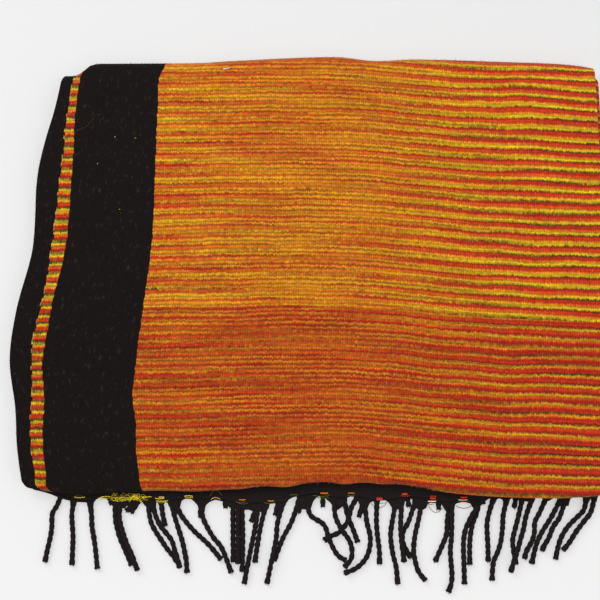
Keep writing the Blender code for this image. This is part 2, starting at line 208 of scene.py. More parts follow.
# Where the bands lie on the top layer, as (y, place) rows: the stripe's outer edge from the
# selvedge, the stripe's width, and the x where the black band ends
STRIPE_START = [
    (-0.250, 0.0150), (-0.230, 0.0160), (-0.203, 0.0150), (-0.173, 0.0151), (-0.143, 0.0206),
    (-0.1125, 0.0239), (-0.082, 0.0240), (-0.034, 0.0264), (0.014, 0.0210), (0.112, 0.0260),
    (0.197, 0.0160), (0.250, 0.0130),
]
STRIPE_WIDE = [
    (-0.250, 0.0088), (-0.235, 0.0112), (-0.225, 0.0122), (-0.203, 0.0132), (-0.173, 0.0139),
    (-0.143, 0.0129), (-0.1125, 0.0110), (-0.082, 0.0142), (-0.034, 0.0112), (0.014, 0.0156),
    (0.112, 0.0124), (0.197, 0.0092), (0.250, 0.0085),
]
BAND_END = [
    (-0.250, -0.1796), (-0.240, -0.1812), (-0.225, -0.1840), (-0.203, -0.1872), (-0.173, -0.1886),
    (-0.143, -0.1928), (-0.1125, -0.1905), (-0.082, -0.1880), (-0.030, -0.1823), (0.032, -0.1765),
    (0.077, -0.1757), (0.150, -0.1753), (0.204, -0.1745), (0.230, -0.1739), (0.240, -0.1690),
    (0.250, -0.1660),
]

# How far the weft rows drift from straight lines on the top layer, as (x, y): level at the black band, a low
# rise left of the middle, then down to the fold. Near the front they rise once more about the middle, and
# near the back once more before the fold
ROW_DRIFT = [
    (-0.170, 0.0), (-0.030, 0.0020), (0.050, 0.0005), (0.130, -0.0065), (0.200, -0.0125), (0.310, -0.0165),
]
FRONT_RISE = 0.0022
FRONT_RISE_X = 0.035
FRONT_RISE_REACH = 0.045
BACK_RISE = 0.0030
BACK_RISE_X = 0.245
BACK_RISE_REACH = 0.060

# Weave: weft rows above and below the line where a new ball of yarn starts, and warp columns
SWITCH_Y = -0.048
PICK_UPPER = 0.00224
PICK_LOWER = 0.00241
WARP = 0.00122
ROW_BLEND = 0.38
# Depth of the painted shade between the weft rows, and how much darker the lower rows are as a whole
ROW_SHADE = 0.54
LOWER_DARKENING = 0.88
ROW_STEPS = 0.35

# Away from the fold the dyes are more mixed: how much, and the distances from the selvedge where that ends
MIXED = 0.44
MIXED_TO = 0.34
MIXED_END = 0.50

# The dye comes back along the weft yarn after each loop, so that it steps on from row to row
DYE_LOOP = 1.30
DYE_STEP_UPPER = 0.184
DYE_STEP_LOWER = 0.226

# Fringe: bunches of warp gathered into twisted cords
CORD_RADIUS = 0.0030
TWIST = 0.0135
CORD_STEP = 0.0014
CORD_SIDES = 12
GATHER = 0.013
LONG_GATHER = 0.020
GATHER_HALF = 0.0044
PARTING = 0.0004
CORD_CLEAR = 1.7
CORD_LIFT = 1.13

# Each cord's way over the floor, in millimetres: (hem, [(x, y) from the root to the tip])
CORDS = [
    ("lower", [(-268, -258), (-272.7, -261.2), (-277.2, -269.8), (-277.1, -283.6),
               (-278.2, -294.3), (-280.8, -308.2), (-282.6, -319.7)]),
    ("upper", [(-255, -258), (-256.3, -269.8), (-255.6, -279.4), (-254.1, -293.3),
               (-253.9, -309.2), (-253.9, -324)]),
    ("upper", [(-237, -258), (-235.2, -272), (-234.2, -283.6), (-231.5, -296.5),
               (-229.3, -309.2), (-226.8, -327.2)]),
    ("lower", [(-211, -258), (-209.7, -274.2), (-206.5, -287.8), (-202.5, -298.6),
               (-194.8, -314.5), (-190.4, -324)]),
    ("upper", [(-205, -258), (-205.1, -274.2), (-201.4, -287.8), (-197.4, -298.6),
               (-189.7, -314.5), (-184.4, -328.2)]),
    ("lower", [(-176, -258), (-173.6, -269.8), (-171.2, -279.4), (-166.6, -287.8),
               (-159.8, -297.6), (-153, -307.1), (-146.3, -314.5), (-143, -319.7)]),
    ("upper", [(-170, -258), (-167.1, -270.9), (-162.4, -280.4), (-155.7, -289), (-149, -297.6),
               (-145.5, -307.1), (-141.9, -316.6), (-139.4, -326.1)]),
    ("lower", [(-161.5, -258), (-159.5, -268.8), (-157.6, -277.3), (-156.1, -282.5)]),
    ("lower", [(-151, -258), (-146.9, -270.9), (-142.7, -283.6), (-137.6, -298.6),
               (-134.5, -311.4), (-132.8, -319.7), (-132, -330.9)]),
    ("upper", [(-146, -258), (-140.4, -269.8), (-133.1, -279.4), (-124.3, -288.8),
               (-110.4, -301.2), (-102, -310.4), (-96.2, -317.4)]),
    ("upper", [(-116, -259), (-116.4, -273), (-105.8, -293), (-95.4, -306), (-85, -331)]),
    ("lower", [(-84.6, -259), (-83.2, -320)]),
    ("upper", [(-79, -259), (-78, -322)]),
    ("lower", [(-75, -259), (-73.4, -293), (-73.6, -331)]),
    ("lower", [(-57, -258), (-59.6, -280), (-66.4, -315), (-71.4, -343)]),
    ("upper", [(-48.8, -258), (-55.4, -288), (-60.4, -321)]),
    ("upper", [(-30, -257), (-36.6, -280), (-38.4, -299), (-47.6, -343)]),
    ("lower", [(-11, -257), (-21, -277), (-31, -296), (-40, -319)]),
    ("upper", [(-5, -256), (-1.4, -271), (13, -281.4), (18.6, -297), (27, -312.4), (36, -318.4)]),
    ("upper", [(24, -256), (25.4, -273), (31.4, -286), (41, -300), (42.2, -315), (34.6, -325.4)]),
    ("lower", [(34, -257), (38, -270), (44.4, -287), (49, -300)]),
    ("lower", [(50, -257), (42, -264), (38.6, -277), (30, -288.6), (19, -293.8), (12.6, -298)]),
    ("upper", [(57, -256), (58.6, -277), (62.4, -296), (58.6, -314), (47.6, -326), (34, -331.6)]),
    ("lower", [(70, -258), (69.1, -277.3), (70, -293), (71.7, -307.5), (71.7, -322.5)]),
    ("upper", [(88, -258), (88.5, -264.5), (84.4, -286.7), (84.1, -297.2), (86.2, -312.7),
               (89.3, -325.6), (90.6, -343.1)]),
    ("lower", [(113, -258), (103.6, -277.3), (97.6, -287.8), (96.6, -297.2), (99.5, -306), (105.1, -315.3)]),
    ("lower", [(97, -258), (95.8, -266.8), (94.5, -284.1), (95.1, -299.8), (96.8, -311.5), (97.9, -320.5)]),
    ("upper", [(118, -258), (114.3, -275), (110.6, -289.3), (108.4, -302.4), (108.1, -312.7),
               (111.1, -325.6), (114.2, -332.1), (120, -339.1)]),
    ("lower", [(145, -258), (146.4, -263.6), (144.7, -277.3), (143.6, -290.7), (138.8, -302.4),
               (130.4, -320)]),
    ("upper", [(150, -258), (149.6, -264.5), (148.8, -293), (147.1, -307.5), (147.6, -323),
               (148.1, -333.3), (147, -342.4), (143.8, -350.7)]),
    ("upper", [(177, -258), (175.3, -264.5), (170.4, -272.4), (164.7, -284.1), (161.7, -295.9),
               (161, -307.5), (161.1, -323), (161, -343.1)]),
    ("lower", [(180, -258), (176.6, -268.4), (172.1, -278.9), (169, -291.9), (167.7, -304.9),
               (167.2, -322.5)]),
    ("lower", [(196, -258), (190.6, -265.7), (187.2, -278.6), (186.8, -290.2), (187.1, -304.1),
               (186.8, -320.5)]),
    ("upper", [(209, -258), (204.6, -271.6), (203.4, -284.4), (201.1, -298.2), (197.3, -309.6),
               (192.8, -318.9), (191, -329.2), (190.2, -340)]),
    ("lower", [(227, -258), (220.7, -272.8), (217.2, -284.4), (213.7, -297.2), (214.3, -309.6),
               (215.8, -317.9), (216.2, -323)]),
    ("upper", [(236, -258), (228.8, -272.8), (225.7, -285.7), (220.1, -301.7), (215.4, -313.3),
               (212, -323.7), (210, -330.5)]),
    ("lower", [(253, -258), (244, -267.8), (238.2, -278.4), (237, -289.9), (233.7, -299.2),
               (228, -308.6), (225.2, -317.4)]),
    ("upper", [(267, -258), (255.5, -273.9), (246.6, -286.7), (240.2, -298.2), (236.8, -307.5),
               (232.7, -322)]),
    ("lower", [(274, -258), (265.1, -272.8), (257.5, -283.3), (252.2, -294.9), (247, -303), (244.5, -308.1)]),
    ("upper", [(294, -258), (291, -265.7), (284.1, -272.8), (274.1, -282.1), (266.5, -292.6),
               (261.7, -304.1), (258.2, -317.4)]),
    ("lower", [(304, -258), (298.5, -267.8), (290.9, -277.3), (282.2, -287.8), (273.2, -300.6),
               (266.3, -308.1)]),
]

# Cord ends of the drawn-back hem, which lie on the floor: (x and y of the tip in millimetres, lean)
STUB_HEIGHT = 0.0014
STUBS = [
    (-217.5, -259.5, -1.4), (-199, -267.4, -0.85), (-193, -268.6, -0.55), (-119, -274, 0.0),
    (-65, -279, -0.35), (-39, -272, -0.2), (-15, -269, -0.5), (50.4, -273, -0.3), (136, -266, 0.0),
    (184, -260.5, 0.1), (216.5, -264, -0.2), (-92, -264, 0.1), (12, -263, 0.0), (104, -262, 0.1),
]

# Stray fibres: (x, y, length in millimetres, direction, radius in millimetres, tone), where the
# tones are 0 grey, 1 white, 2 brown and 3 yellow
LINT = [
    (-96.5, 233.2, 8.6, 0.20, 0.85, 1), (133.6, 132.5, 1.6, 0.3, 0.55, 1),
    (-214.1, 64.3, 1.6, 0.2, 0.45, 3), (-198.6, 148.3, 1.8, 0.4, 0.40, 3),
    (-260.6, 158.7, 12.0, 0.35, 0.24, 2), (-250.0, 168.0, 17.0, 0.95, 0.20, 2),
    (-241.0, 176.5, 6.0, 0.30, 0.20, 2), (-222.0, 150.0, 2.0, 1.1, 0.25, 1),
    (-240.5, 118.0, 1.6, 0.8, 0.28, 1), (-254.0, 146.5, 2.6, 0.1, 0.22, 0),
]
GREY_LINT = (0.060, 0.048, 0.046)
WHITE_LINT = (0.82, 0.80, 0.76)
BROWN_LINT = (0.160, 0.066, 0.048)

# How many stray fibres lie on the black bands, wisps at the frayed hem, and hairs along folds and sides
BAND_FIBRES = 90
HEM_WISPS = 30
FOLD_HAIRS = 420
SIDE_HAIRS = 260

# The floor's own glow keeps its shadows pale: its strength and how it falls towards the back
FLOOR_GLOW = 0.485
FLOOR_SLOPE = -0.10

# Loose loops of weft at the showing hem: (x, y, half width, sag, radius in millimetres, dye)
LOOPS = [
    (-248.0, -252.0, 6.0, 1.0, 0.50, 0.10), (-249.0, -250.6, 4.0, -0.6, 0.36, 0.30),
    (-219.0, -254.0, 10.5, -2.4, 0.55, 0.05), (-217.0, -255.4, 10.0, -2.0, 0.40, 0.14),
    (-194.0, -252.8, 18.0, 0.3, 0.50, 0.05), (-196.0, -254.2, 12.0, 0.5, 0.45, 0.10),
    (-206.0, -255.2, 8.0, 1.2, 0.45, 0.04), (-188.7, -259.0, 7.4, -7.2, 0.65, 0.03),
    (-188.9, -257.4, 6.0, -6.6, 0.60, 0.06), (-189.0, -252.4, 2.6, -1.2, 0.90, 0.02),
    (-176.0, -251.8, 5.0, 0.4, 0.45, 0.06), (-160.5, -252.4, 3.0, 0.0, 0.75, 0.93),
    (-162.5, -253.4, 5.0, 0.8, 0.45, 0.08), (-160.0, -256.2, 6.5, 0.6, 0.55, 0.10),
    (-161.0, -257.4, 5.0, 0.8, 0.40, 0.24), (-131.6, -251.6, 4.6, -0.7, 0.60, 0.06),
    (-131.0, -253.2, 4.4, -0.4, 0.45, 0.18), (-102.4, -251.4, 6.6, -6.4, 0.42, 0.30),
    (-102.6, -255.0, 5.0, -2.2, 0.40, 0.14), (-74.0, -255.0, 3.4, 0.4, 0.60, 0.88),
    (-76.0, -257.0, 5.0, 1.5, 0.50, 0.34), (-73.0, -258.6, 5.0, 1.0, 0.40, 0.38),
    (-43.6, -256.0, 3.2, 0.6, 0.60, 0.88), (-45.0, -258.0, 6.0, 1.2, 0.45, 0.34),
    (-19.0, -250.6, 4.0, -1.0, 0.55, 0.38), (-20.0, -252.0, 3.4, -0.4, 0.45, 0.32),
    (13.4, -248.2, 4.2, 0.2, 1.00, 0.78), (10.4, -250.4, 9.0, 1.2, 0.50, 0.34),
    (12.0, -252.4, 7.0, 1.0, 0.42, 0.40), (42.4, -248.6, 3.4, -0.5, 0.60, 0.86),
    (42.0, -250.6, 4.0, 0.4, 0.50, 0.36), (72.4, -254.6, 3.2, 0.2, 1.35, 0.68),
    (72.0, -253.4, 3.6, -0.6, 0.50, 0.50), (72.0, -258.4, 8.5, 5.0, 0.34, 0.34),
    (74.0, -257.8, 7.0, 1.0, 0.32, 0.38), (99.4, -249.4, 3.0, -0.2, 1.10, 0.68),
    (100.0, -250.8, 5.0, 0.6, 0.45, 0.50), (129.4, -253.8, 3.0, 0.0, 1.30, 0.58),
    (128.4, -256.6, 4.4, 0.4, 0.80, 0.98), (129.6, -251.8, 3.6, -0.4, 0.55, 0.66),
    (133.4, -260.6, 8.6, 7.6, 0.34, 0.34), (127.0, -259.4, 3.4, 0.6, 0.40, 0.52),
    (162.4, -252.8, 3.6, 0.0, 1.15, 0.60), (161.4, -255.2, 5.0, 0.4, 0.50, 0.97),
    (163.0, -261.0, 9.0, 2.8, 0.40, 0.32), (162.4, -256.6, 6.0, 0.8, 0.40, 0.50),
]


def smooth(share):
    """Eases a share from 0 to 1."""
    share = min(1.0, max(0.0, share))
    return share * share * (3.0 - 2.0 * share)


def mix(low, high, share):
    return low + (high - low) * share


def read_curve(rows, place):
    """Reads a table of (place, value) rows on a smooth curve through them."""
    place = min(rows[-1][0], max(rows[0][0], place))
    index = 0
    while index < len(rows) - 2 and place > rows[index + 1][0]:
        index += 1

    def slope(k):
        low, high = max(k - 1, 0), min(k + 1, len(rows) - 1)
        return (rows[high][1] - rows[low][1]) / (rows[high][0] - rows[low][0])

    (start, value), (end, next_value) = rows[index], rows[index + 1]
    span = end - start
    share = (place - start) / span
    eased = smooth(share)
    bend = share * (1.0 - share) * span
    return mix(value, next_value, eased) + bend * (slope(index) * (1.0 - share) - slope(index + 1) * share)


def bump_at(distance, reach):
    return math.exp(-(distance / reach) ** 2)


def side_shift(x, y):
    """How far the selvedge's outline moves a point sideways."""
    fade = max(0.0, (FOLD - x) / (FOLD - LEFT)) ** SIDE_FADE
    return fade * (read_curve(LEFT_EDGE, y) - LEFT)


def settle(x, y, z):
    """Moves a point of the square pack to where the folded blanket lies."""
    edge_span = EDGE_FULL - EDGE_CALM
    front = smooth((-y - EDGE_CALM) / edge_span) * (read_curve(FRONT_EDGE, x) - FRONT)
    back = smooth((y - EDGE_CALM) / edge_span) * (read_curve(BACK_EDGE, x) - BACK)
    rise = 0.0
    for centre_x, centre_y, reach_x, reach_y, height in RISES:
        rise += height * bump_at(x - centre_x, reach_x) * bump_at(y - centre_y, reach_y)
    return x + side_shift(x, y), y + front + back, z * (1.0 + rise)


def length_path():
    """The way of a pair of layers from the lower hem to the upper one: (run, y, z, normal y, normal z)."""
    low, second, third, top = PAIR_Z
    inner_back = BACK_CENTRE - NEST

    def run_rows(run, z, stop, steps, facing):
        step = (stop - FRONT_CENTRE) / steps
        return [(run, FRONT_CENTRE + step * k, z, 0.0, facing) for k in range(steps + 1)]

    def turn(run, y, z, radius, first, last, steps, facing):
        rows = []
        for k in range(1, steps):
            angle = math.radians(mix(first, last, k / steps))
            cos, sin = math.cos(angle), math.sin(angle)
            rows.append((run + k / steps, y + radius * cos, z + radius * sin, facing * cos, facing * sin))
        return rows

    stations = run_rows(0, low, BACK_CENTRE, HIDDEN_STEPS, 1.0)
    stations += turn(0, BACK_CENTRE, (low + top) / 2, LARGE_TURN, -90, 90, LARGE_STEPS, -1)
    stations += reversed(run_rows(1, top, BACK_CENTRE, TOP_STEPS, -1.0))
    stations += turn(1, FRONT_CENTRE, (third + top) / 2, SMALL_TURN, 90, 270, SMALL_STEPS, -1)
    stations += run_rows(2, third, inner_back, HIDDEN_STEPS, 1.0)
    stations += turn(2, inner_back, (second + third) / 2, SMALL_TURN, 90, -90, SMALL_STEPS, 1)
    stations += reversed(run_rows(3, second, inner_back, HIDDEN_STEPS, -1.0))
    return stations


def woven_columns():
    """The columns of a half, as (distance from the selvedge, share of the full thickness)."""
    marks = [BLACK_EDGE, BLACK_EDGE + STRIPE, BLACK_EDGE + STRIPE + BLACK_BAND, HALF_WIDTH]
    columns = list(EDGE_ROUNDING)
    start = EDGE_ROUNDING[-1][0]
    for mark in marks:
        steps = math.ceil((mark - start) / COLUMN_STEP)
        columns += [(mix(start, mark, k / steps), 1.0) for k in range(1, steps + 1)]
        start = mark
    return columns


WOVEN_COLUMNS = woven_columns()


def unsettled(x, y):
    """The x in the square pack of a place whose settled x is given."""
    guess = x
    for _ in range(6):
        guess = x - side_shift(guess, y)
    return guess


def band_places(y, left, centre):
    """Where the woven bands' edges lie across the top layer, as (woven distance, x) rows."""
    outer = read_curve(LEFT_EDGE, y) + left - LEFT
    start = outer + read_curve(STRIPE_START, y)
    end = start + read_curve(STRIPE_WIDE, y)
    return [(0.0, left), (BLACK_EDGE, unsettled(start, y)), (BLACK_EDGE + STRIPE, unsettled(end, y)),
            (BLACK_EDGE + STRIPE + BLACK_BAND, unsettled(read_curve(BAND_END, y), y)), (HALF_WIDTH, centre)]


def column_x(left, centre, bands, share):
    """The x of each column of a half, laid evenly or, by a share, as its bands show."""
    places = []
    for woven, _ in WOVEN_COLUMNS:
        x = mix(left, centre, woven / HALF_WIDTH)
        if share > 0.0:
            for (w0, x0), (w1, x1) in zip(bands, bands[1:]):
                if w0 <= woven <= w1:
                    x = mix(x, mix(x0, x1, (woven - w0) / (w1 - w0)), share)
                    break
        places.append(x)
    return places


def section(run, y):
    """The hairpin of a pair, from one selvedge round the fold to the other.

    Each node is (is the drawn-back half, woven place, x, offset, normal x, normal offset, thickness).
    """
    low = min(int(run), len(RUN_SLACK) - 2)
    slacks = [mix(a, b, run - low) for a, b in zip(RUN_SLACK[low], RUN_SLACK[low + 1])]
    top_slack, other_slack, fold_slack = slacks
    centre = FOLD - fold_slack - PAIR_HALF
    corner = smooth((CORNER_START - y) / (CORNER_START - CORNER_END)) if run in (0, 3) else 0.0
    other_left = mix(LEFT + other_slack, HEM_CORNER, corner)
    top_left = LEFT + top_slack
    on_top = smooth(1.6 * (1.0 - abs(run - 1.0)))
    bands = band_places(y, top_left, centre)
    edge = HALF_WIDTH + FOLD_HALF
    nodes = []
    for (woven, thick), x in zip(WOVEN_COLUMNS, column_x(other_left, centre, bands, 0.0)):
        nodes.append((False, edge - woven, x, PITCH / 2, 0.0, 1.0, thick))
    for k in range(1, SIDE_STEPS):
        angle = math.radians(90 - 180 * k / SIDE_STEPS)
        cos, sin = math.cos(angle), math.sin(angle)
        nodes.append((False, FOLD_HALF * sin, centre + PITCH / 2 * cos, PITCH / 2 * sin, cos, sin, 1.0))
    top = list(zip(WOVEN_COLUMNS, column_x(top_left, centre, bands, on_top)))
    for (woven, thick), x in reversed(top):
        nodes.append((True, woven - edge, x, -PITCH / 2, 0.0, -1.0, thick))
    return nodes


def ripple(x, y):
    """The front fold's small ripples, which fade out behind it."""
    share = smooth((-y - 0.205) / 0.030)
    if share == 0.0:
        return 0.0
    return -share * sum(forward * bump_at(x - at, reach) for at, reach, forward in FRONT_RIPPLES)


def hem_place(run, drawn, x):
    """Where the hem lies at x, in the square pack."""
    shown = read_curve(HEM_EDGE, x) - (read_curve(FRONT_EDGE, x) - FRONT)
    if run == 0:
        shown += LOWER_HEM_BACK
    if not drawn:
        return shown
    return mix(shown, DRAWN_HEM, smooth((FOLD - x) / DRAWN_RAMP))


def relief(x, y):
    """How far the top layer stands above the pack at a settled place."""
    inside = smooth((FOLD - 0.010 - x) / 0.035) * smooth((y + 0.238) / 0.022) * smooth((0.236 - y) / 0.030)
    if inside <= 0.0:
        return 0.0
    height = RELIEF_BASE
    height += RELIEF_NOISE * noise.noise(Vector((x * 22.0, y * 15.0, 4.0)))
    height += 0.5 * RELIEF_NOISE * noise.noise(Vector((x * 60.0, y * 45.0, 9.0)))
    for x0, y0, x1, y1, width, rise in CREASES:
        along_x, along_y = x1 - x0, y1 - y0
        share = ((x - x0) * along_x + (y - y0) * along_y) / (along_x ** 2 + along_y ** 2)
        inner = min(1.0, max(0.0, share))
        away = math.hypot(x - x0 - along_x * inner, y - y0 - along_y * inner)
        height += rise * bump_at(away, width)
    return max(0.0, height) * inside


def row_drift(x, y):
    """How far a weft row lies from a straight line on the top layer, in y."""
    shift = read_curve(ROW_DRIFT, x)
    shift += FRONT_RISE * bump_at(x - FRONT_RISE_X, FRONT_RISE_REACH) * smooth((-y - 0.14) / 0.08)
    shift += BACK_RISE * bump_at(x - BACK_RISE_X, BACK_RISE_REACH) * smooth((y - 0.04) / 0.14)
    shift += 0.0012 * noise.noise(Vector((x * 26.0, y * 9.0, 1.0)))
    shift += 0.0005 * noise.noise(Vector((x * 80.0, y * 20.0, 2.0)))
    return shift


def path_lengths(stations):
    """The woven length at each station, which is its y along the top run."""
    lengths = [0.0]
    for (_, y0, z0, _, _), (_, y1, z1, _, _) in zip(stations, stations[1:]):
        lengths.append(lengths[-1] - math.hypot(y1 - y0, z1 - z0))
    first_top = next(k for k, station in enumerate(stations) if station[0] == 1)
    shift = stations[first_top][1] - lengths[first_top]
    return [length + shift for length in lengths]


def station_ring(station, woven_y, order, inset, taper):
    """The closed ring of points of the cloth at a station, each with its place in the weave.

    order is 0 at a hem, counts the stations from the nearest hem along its run, and is None elsewhere.
    """
    run, y, z, normal_y, normal_z = station
    sides = []
    for side in (1.0, -1.0):
        points = []
        for drawn, woven, x, offset, normal_x, normal_t, thick in section(run, y):
            half = side * SHEET / 2 * thick * taper
            reach = offset + half * normal_t
            place = y
            if order == 0:
                place = hem_place(run, drawn, x) + inset
            elif order is not None:
                place = max(y, hem_place(run, drawn, x) + EDGE_ROUNDING[-1][0] + HEM_STEP * order)
            px, py, pz = settle(x + half * normal_x, place + reach * normal_y, z + reach * normal_z)
            py += ripple(px, py)
            on_top = drawn and 0.5 < run < 1.5
            if on_top:
                pz += relief(px, py)
            share = smooth(1.8 * (1.0 - abs(run - 1.0)))
            drift = share * (py - place - row_drift(px, py)) if share > 0.0 else 0.0
            points.append(((px, py, pz), (woven, woven_y + place - y + drift)))
        sides.append(points)
    return sides[0] + sides[1][::-1]


def cloth_rings():
    """The rings of the whole cloth, from the lower hem to the upper one."""
    stations = length_path()
    lengths = path_lengths(stations)
    run_count = HIDDEN_STEPS + 1
    rings = [station_ring(stations[0], lengths[0], 0, inset, taper) for inset, taper in EDGE_ROUNDING]
    for k, (station, length) in enumerate(zip(stations, lengths)):
        from_end = len(stations) - 1 - k
        order = None
        if k < run_count:
            order = k + 1
        elif from_end < run_count:
            order = from_end + 1
        rings.append(station_ring(station, length, order, 0.0, 1.0))
    last = stations[-1], lengths[-1]
    rings += [station_ring(*last, 0, inset, taper) for inset, taper in EDGE_ROUNDING[::-1]]
    return rings


class Nodes:
    """Builds a material's nodes from short calls."""

    def __init__(self, name):
        self.material = bpy.data.materials.new(name)
        self.material.use_nodes = True
        self.tree = self.material.node_tree
        self.shader = self.tree.nodes["Principled BSDF"]

    def add(self, kind, **settings):
        made = self.tree.nodes.new(kind)
        for name, value in settings.items():
            setattr(made, name, value)
        return made

    def feed(self, socket, value):
        if isinstance(value, bpy.types.NodeSocket):
            self.tree.links.new(value, socket)
        elif value is not None:
            socket.default_value = value

    def math(self, operation, *values):
        made = self.add("ShaderNodeMath", operation=operation)
        for socket, value in zip(made.inputs, values):
            self.feed(socket, value)
        return made.outputs[0]

    def sum(self, *values):
        total = values[0]
        for value in values[1:]:
            total = self.math("ADD", total, value)
        return total

    def times(self, *values):
        total = values[0]
        for value in values[1:]:
            total = self.math("MULTIPLY", total, value)
        return total

    def blend(self, share, low, high, kind="MIX"):
        made = self.add("ShaderNodeMix", data_type="RGBA", blend_type=kind)
        self.feed(made.inputs[0], share)
        self.feed(made.inputs[6], low)
        self.feed(made.inputs[7], high)
        return made.outputs[2]

    def step(self, value, start, end):
        """0 below start, 1 above end, smooth between."""
        made = self.add("ShaderNodeMapRange", interpolation_type="SMOOTHSTEP")
        self.feed(made.inputs[0], value)
        self.feed(made.inputs[1], start)
        self.feed(made.inputs[2], end)
        return made.outputs[0]

    def vector(self, x, y, z):
        made = self.add("ShaderNodeCombineXYZ")
        for socket, value in zip(made.inputs, (x, y, z)):
            self.feed(socket, value)
        return made.outputs[0]

    def grain(self, place, scale, detail=2.0):
        """Soft noise from 0 to 1, with its middle at one half."""
        made = self.add("ShaderNodeTexNoise")
        self.feed(made.inputs["Vector"], place)
        made.inputs["Scale"].default_value = scale
        made.inputs["Detail"].default_value = detail
        return made.outputs[0]

    def cell(self, place):
        """One random number for each whole-numbered place."""
        made = self.add("ShaderNodeTexWhiteNoise", noise_dimensions="3D")
        self.feed(made.inputs["Vector"], place)
        return made.outputs[0]

    def ramp(self, share, stops):
        made = self.add("ShaderNodeValToRGB")
        ramp = made.color_ramp
        while len(ramp.elements) < len(stops):
            ramp.elements.new(1.0)
        for element, (place, colour) in zip(ramp.elements, stops):
            element.position = place
            element.color = (*colour, 1.0)
        self.feed(made.inputs[0], share)
        return made.outputs[0]

    def bump(self, height, strength, distance):
        made = self.add("ShaderNodeBump")
        made.inputs["Strength"].default_value = strength
        made.inputs["Distance"].default_value = distance
        self.feed(made.inputs["Height"], height)
        return made.outputs[0]


def linear(red, green, blue):
    """A colour given as it looks on screen, from 0 to 255, as the shader wants it."""
    shares = (red / 255, green / 255, blue / 255)
    return tuple(c / 12.92 if c < 0.0404 else ((c + 0.055) / 1.055) ** 2.4 for c in shares)


YELLOW = linear(232, 196, 24)
LIME = linear(172, 160, 26)
OLIVE = linear(98, 88, 22)
GREEN = linear(76, 94, 30)
UMBER = linear(96, 44, 16)
CRIMSON = linear(172, 36, 20)
RED = linear(206, 50, 20)
VERMILION = linear(212, 76, 20)
ORANGE = linear(216, 112, 22)
AMBER = linear(220, 148, 28)
BRIGHT = linear(248, 226, 48)
STRAW = linear(238, 208, 140)
UPPER_RUST = linear(196, 62, 22)
UPPER_GOLD = linear(224, 146, 26)
LOWER_RUST = linear(184, 52, 20)
LOWER_GOLD = linear(212, 108, 24)
PALE = linear(236, 226, 206)
BLACK_WOOL = linear(19, 16, 16)
BLACK_WOOL_LINT = linear(64, 52, 47)
BLACK_CORD = linear(31, 26, 27)
BLACK_CORD_LINT = linear(84, 70, 66)

# Dye along the weft yarn from top to bottom: the upper rows, the lower rows and the narrow stripe
UPPER_DYES = [
    (0.00, AMBER), (0.07, YELLOW), (0.18, YELLOW), (0.24, LIME), (0.29, OLIVE), (0.35, UMBER),
    (0.42, CRIMSON), (0.50, RED), (0.66, RED), (0.76, VERMILION), (0.88, ORANGE), (1.00, AMBER),
]
LOWER_DYES = [
    (0.00, OLIVE), (0.05, ORANGE), (0.10, AMBER), (0.15, YELLOW), (0.21, AMBER), (0.29, ORANGE),
    (0.37, VERMILION), (0.46, RED), (0.77, RED), (0.84, CRIMSON), (0.91, UMBER), (1.00, OLIVE),
]
STRIPE_DYES = [
    (0.00, OLIVE), (0.08, LIME), (0.18, YELLOW), (0.30, AMBER), (0.40, ORANGE), (0.50, VERMILION),
    (0.60, RED), (0.78, CRIMSON), (0.86, UMBER), (0.93, GREEN), (1.00, OLIVE),
]

# Loose yarn takes one of these, by its place from 0 to 1
LOOSE_DYES = [
    (0.00, BRIGHT), (0.08, BRIGHT), (0.15, YELLOW), (0.22, LIME), (0.30, OLIVE), (0.40, GREEN),
    (0.50, CRIMSON), (0.60, RED), (0.70, VERMILION), (0.80, ORANGE), (0.90, AMBER), (0.97, PALE),
    (1.00, PALE),
]


def soft_wool(nodes, colour, height, strength, distance, glow=1.0):
    """Sets the finish that all the wool shares; glow is its share of sheen and shine."""
    nodes.feed(nodes.shader.inputs["Base Color"], colour)
    nodes.shader.inputs["Roughness"].default_value = 0.92
    nodes.feed(nodes.shader.inputs["Specular IOR Level"], nodes.times(glow, 0.10) if glow != 1.0 else 0.10)
    nodes.feed(nodes.shader.inputs["Sheen Weight"], nodes.times(glow, 0.10) if glow != 1.0 else 0.10)
    nodes.shader.inputs["Sheen Roughness"].default_value = 0.55
    nodes.feed(nodes.shader.inputs["Normal"], nodes.bump(height, strength, distance))
    return nodes.material


def row_dye(nodes, across, column, pick, place, way, step, loose, seed):
    """Where the dye's loop stands on a row of weft that runs one way."""
    def uneven(along_row, from_row, order):
        spot = nodes.vector(nodes.times(across, along_row), nodes.times(place, from_row), order)
        return nodes.grain(spot, 1.0, 1.0)

    slow = uneven(6.0, 0.06, 0.0)
    quick = uneven(22.0, 0.42, seed + 4.0)
    mottle = uneven(200.0, 0.60, seed + 6.0)
    return nodes.sum(
        nodes.times(across, way / DYE_LOOP),
        nodes.times(place, step),
        nodes.times(slow, 0.80),
        nodes.times(mottle, loose),
        nodes.times(quick, loose),
        nodes.times(nodes.cell(nodes.vector(column, pick, seed)), 0.10),
    )


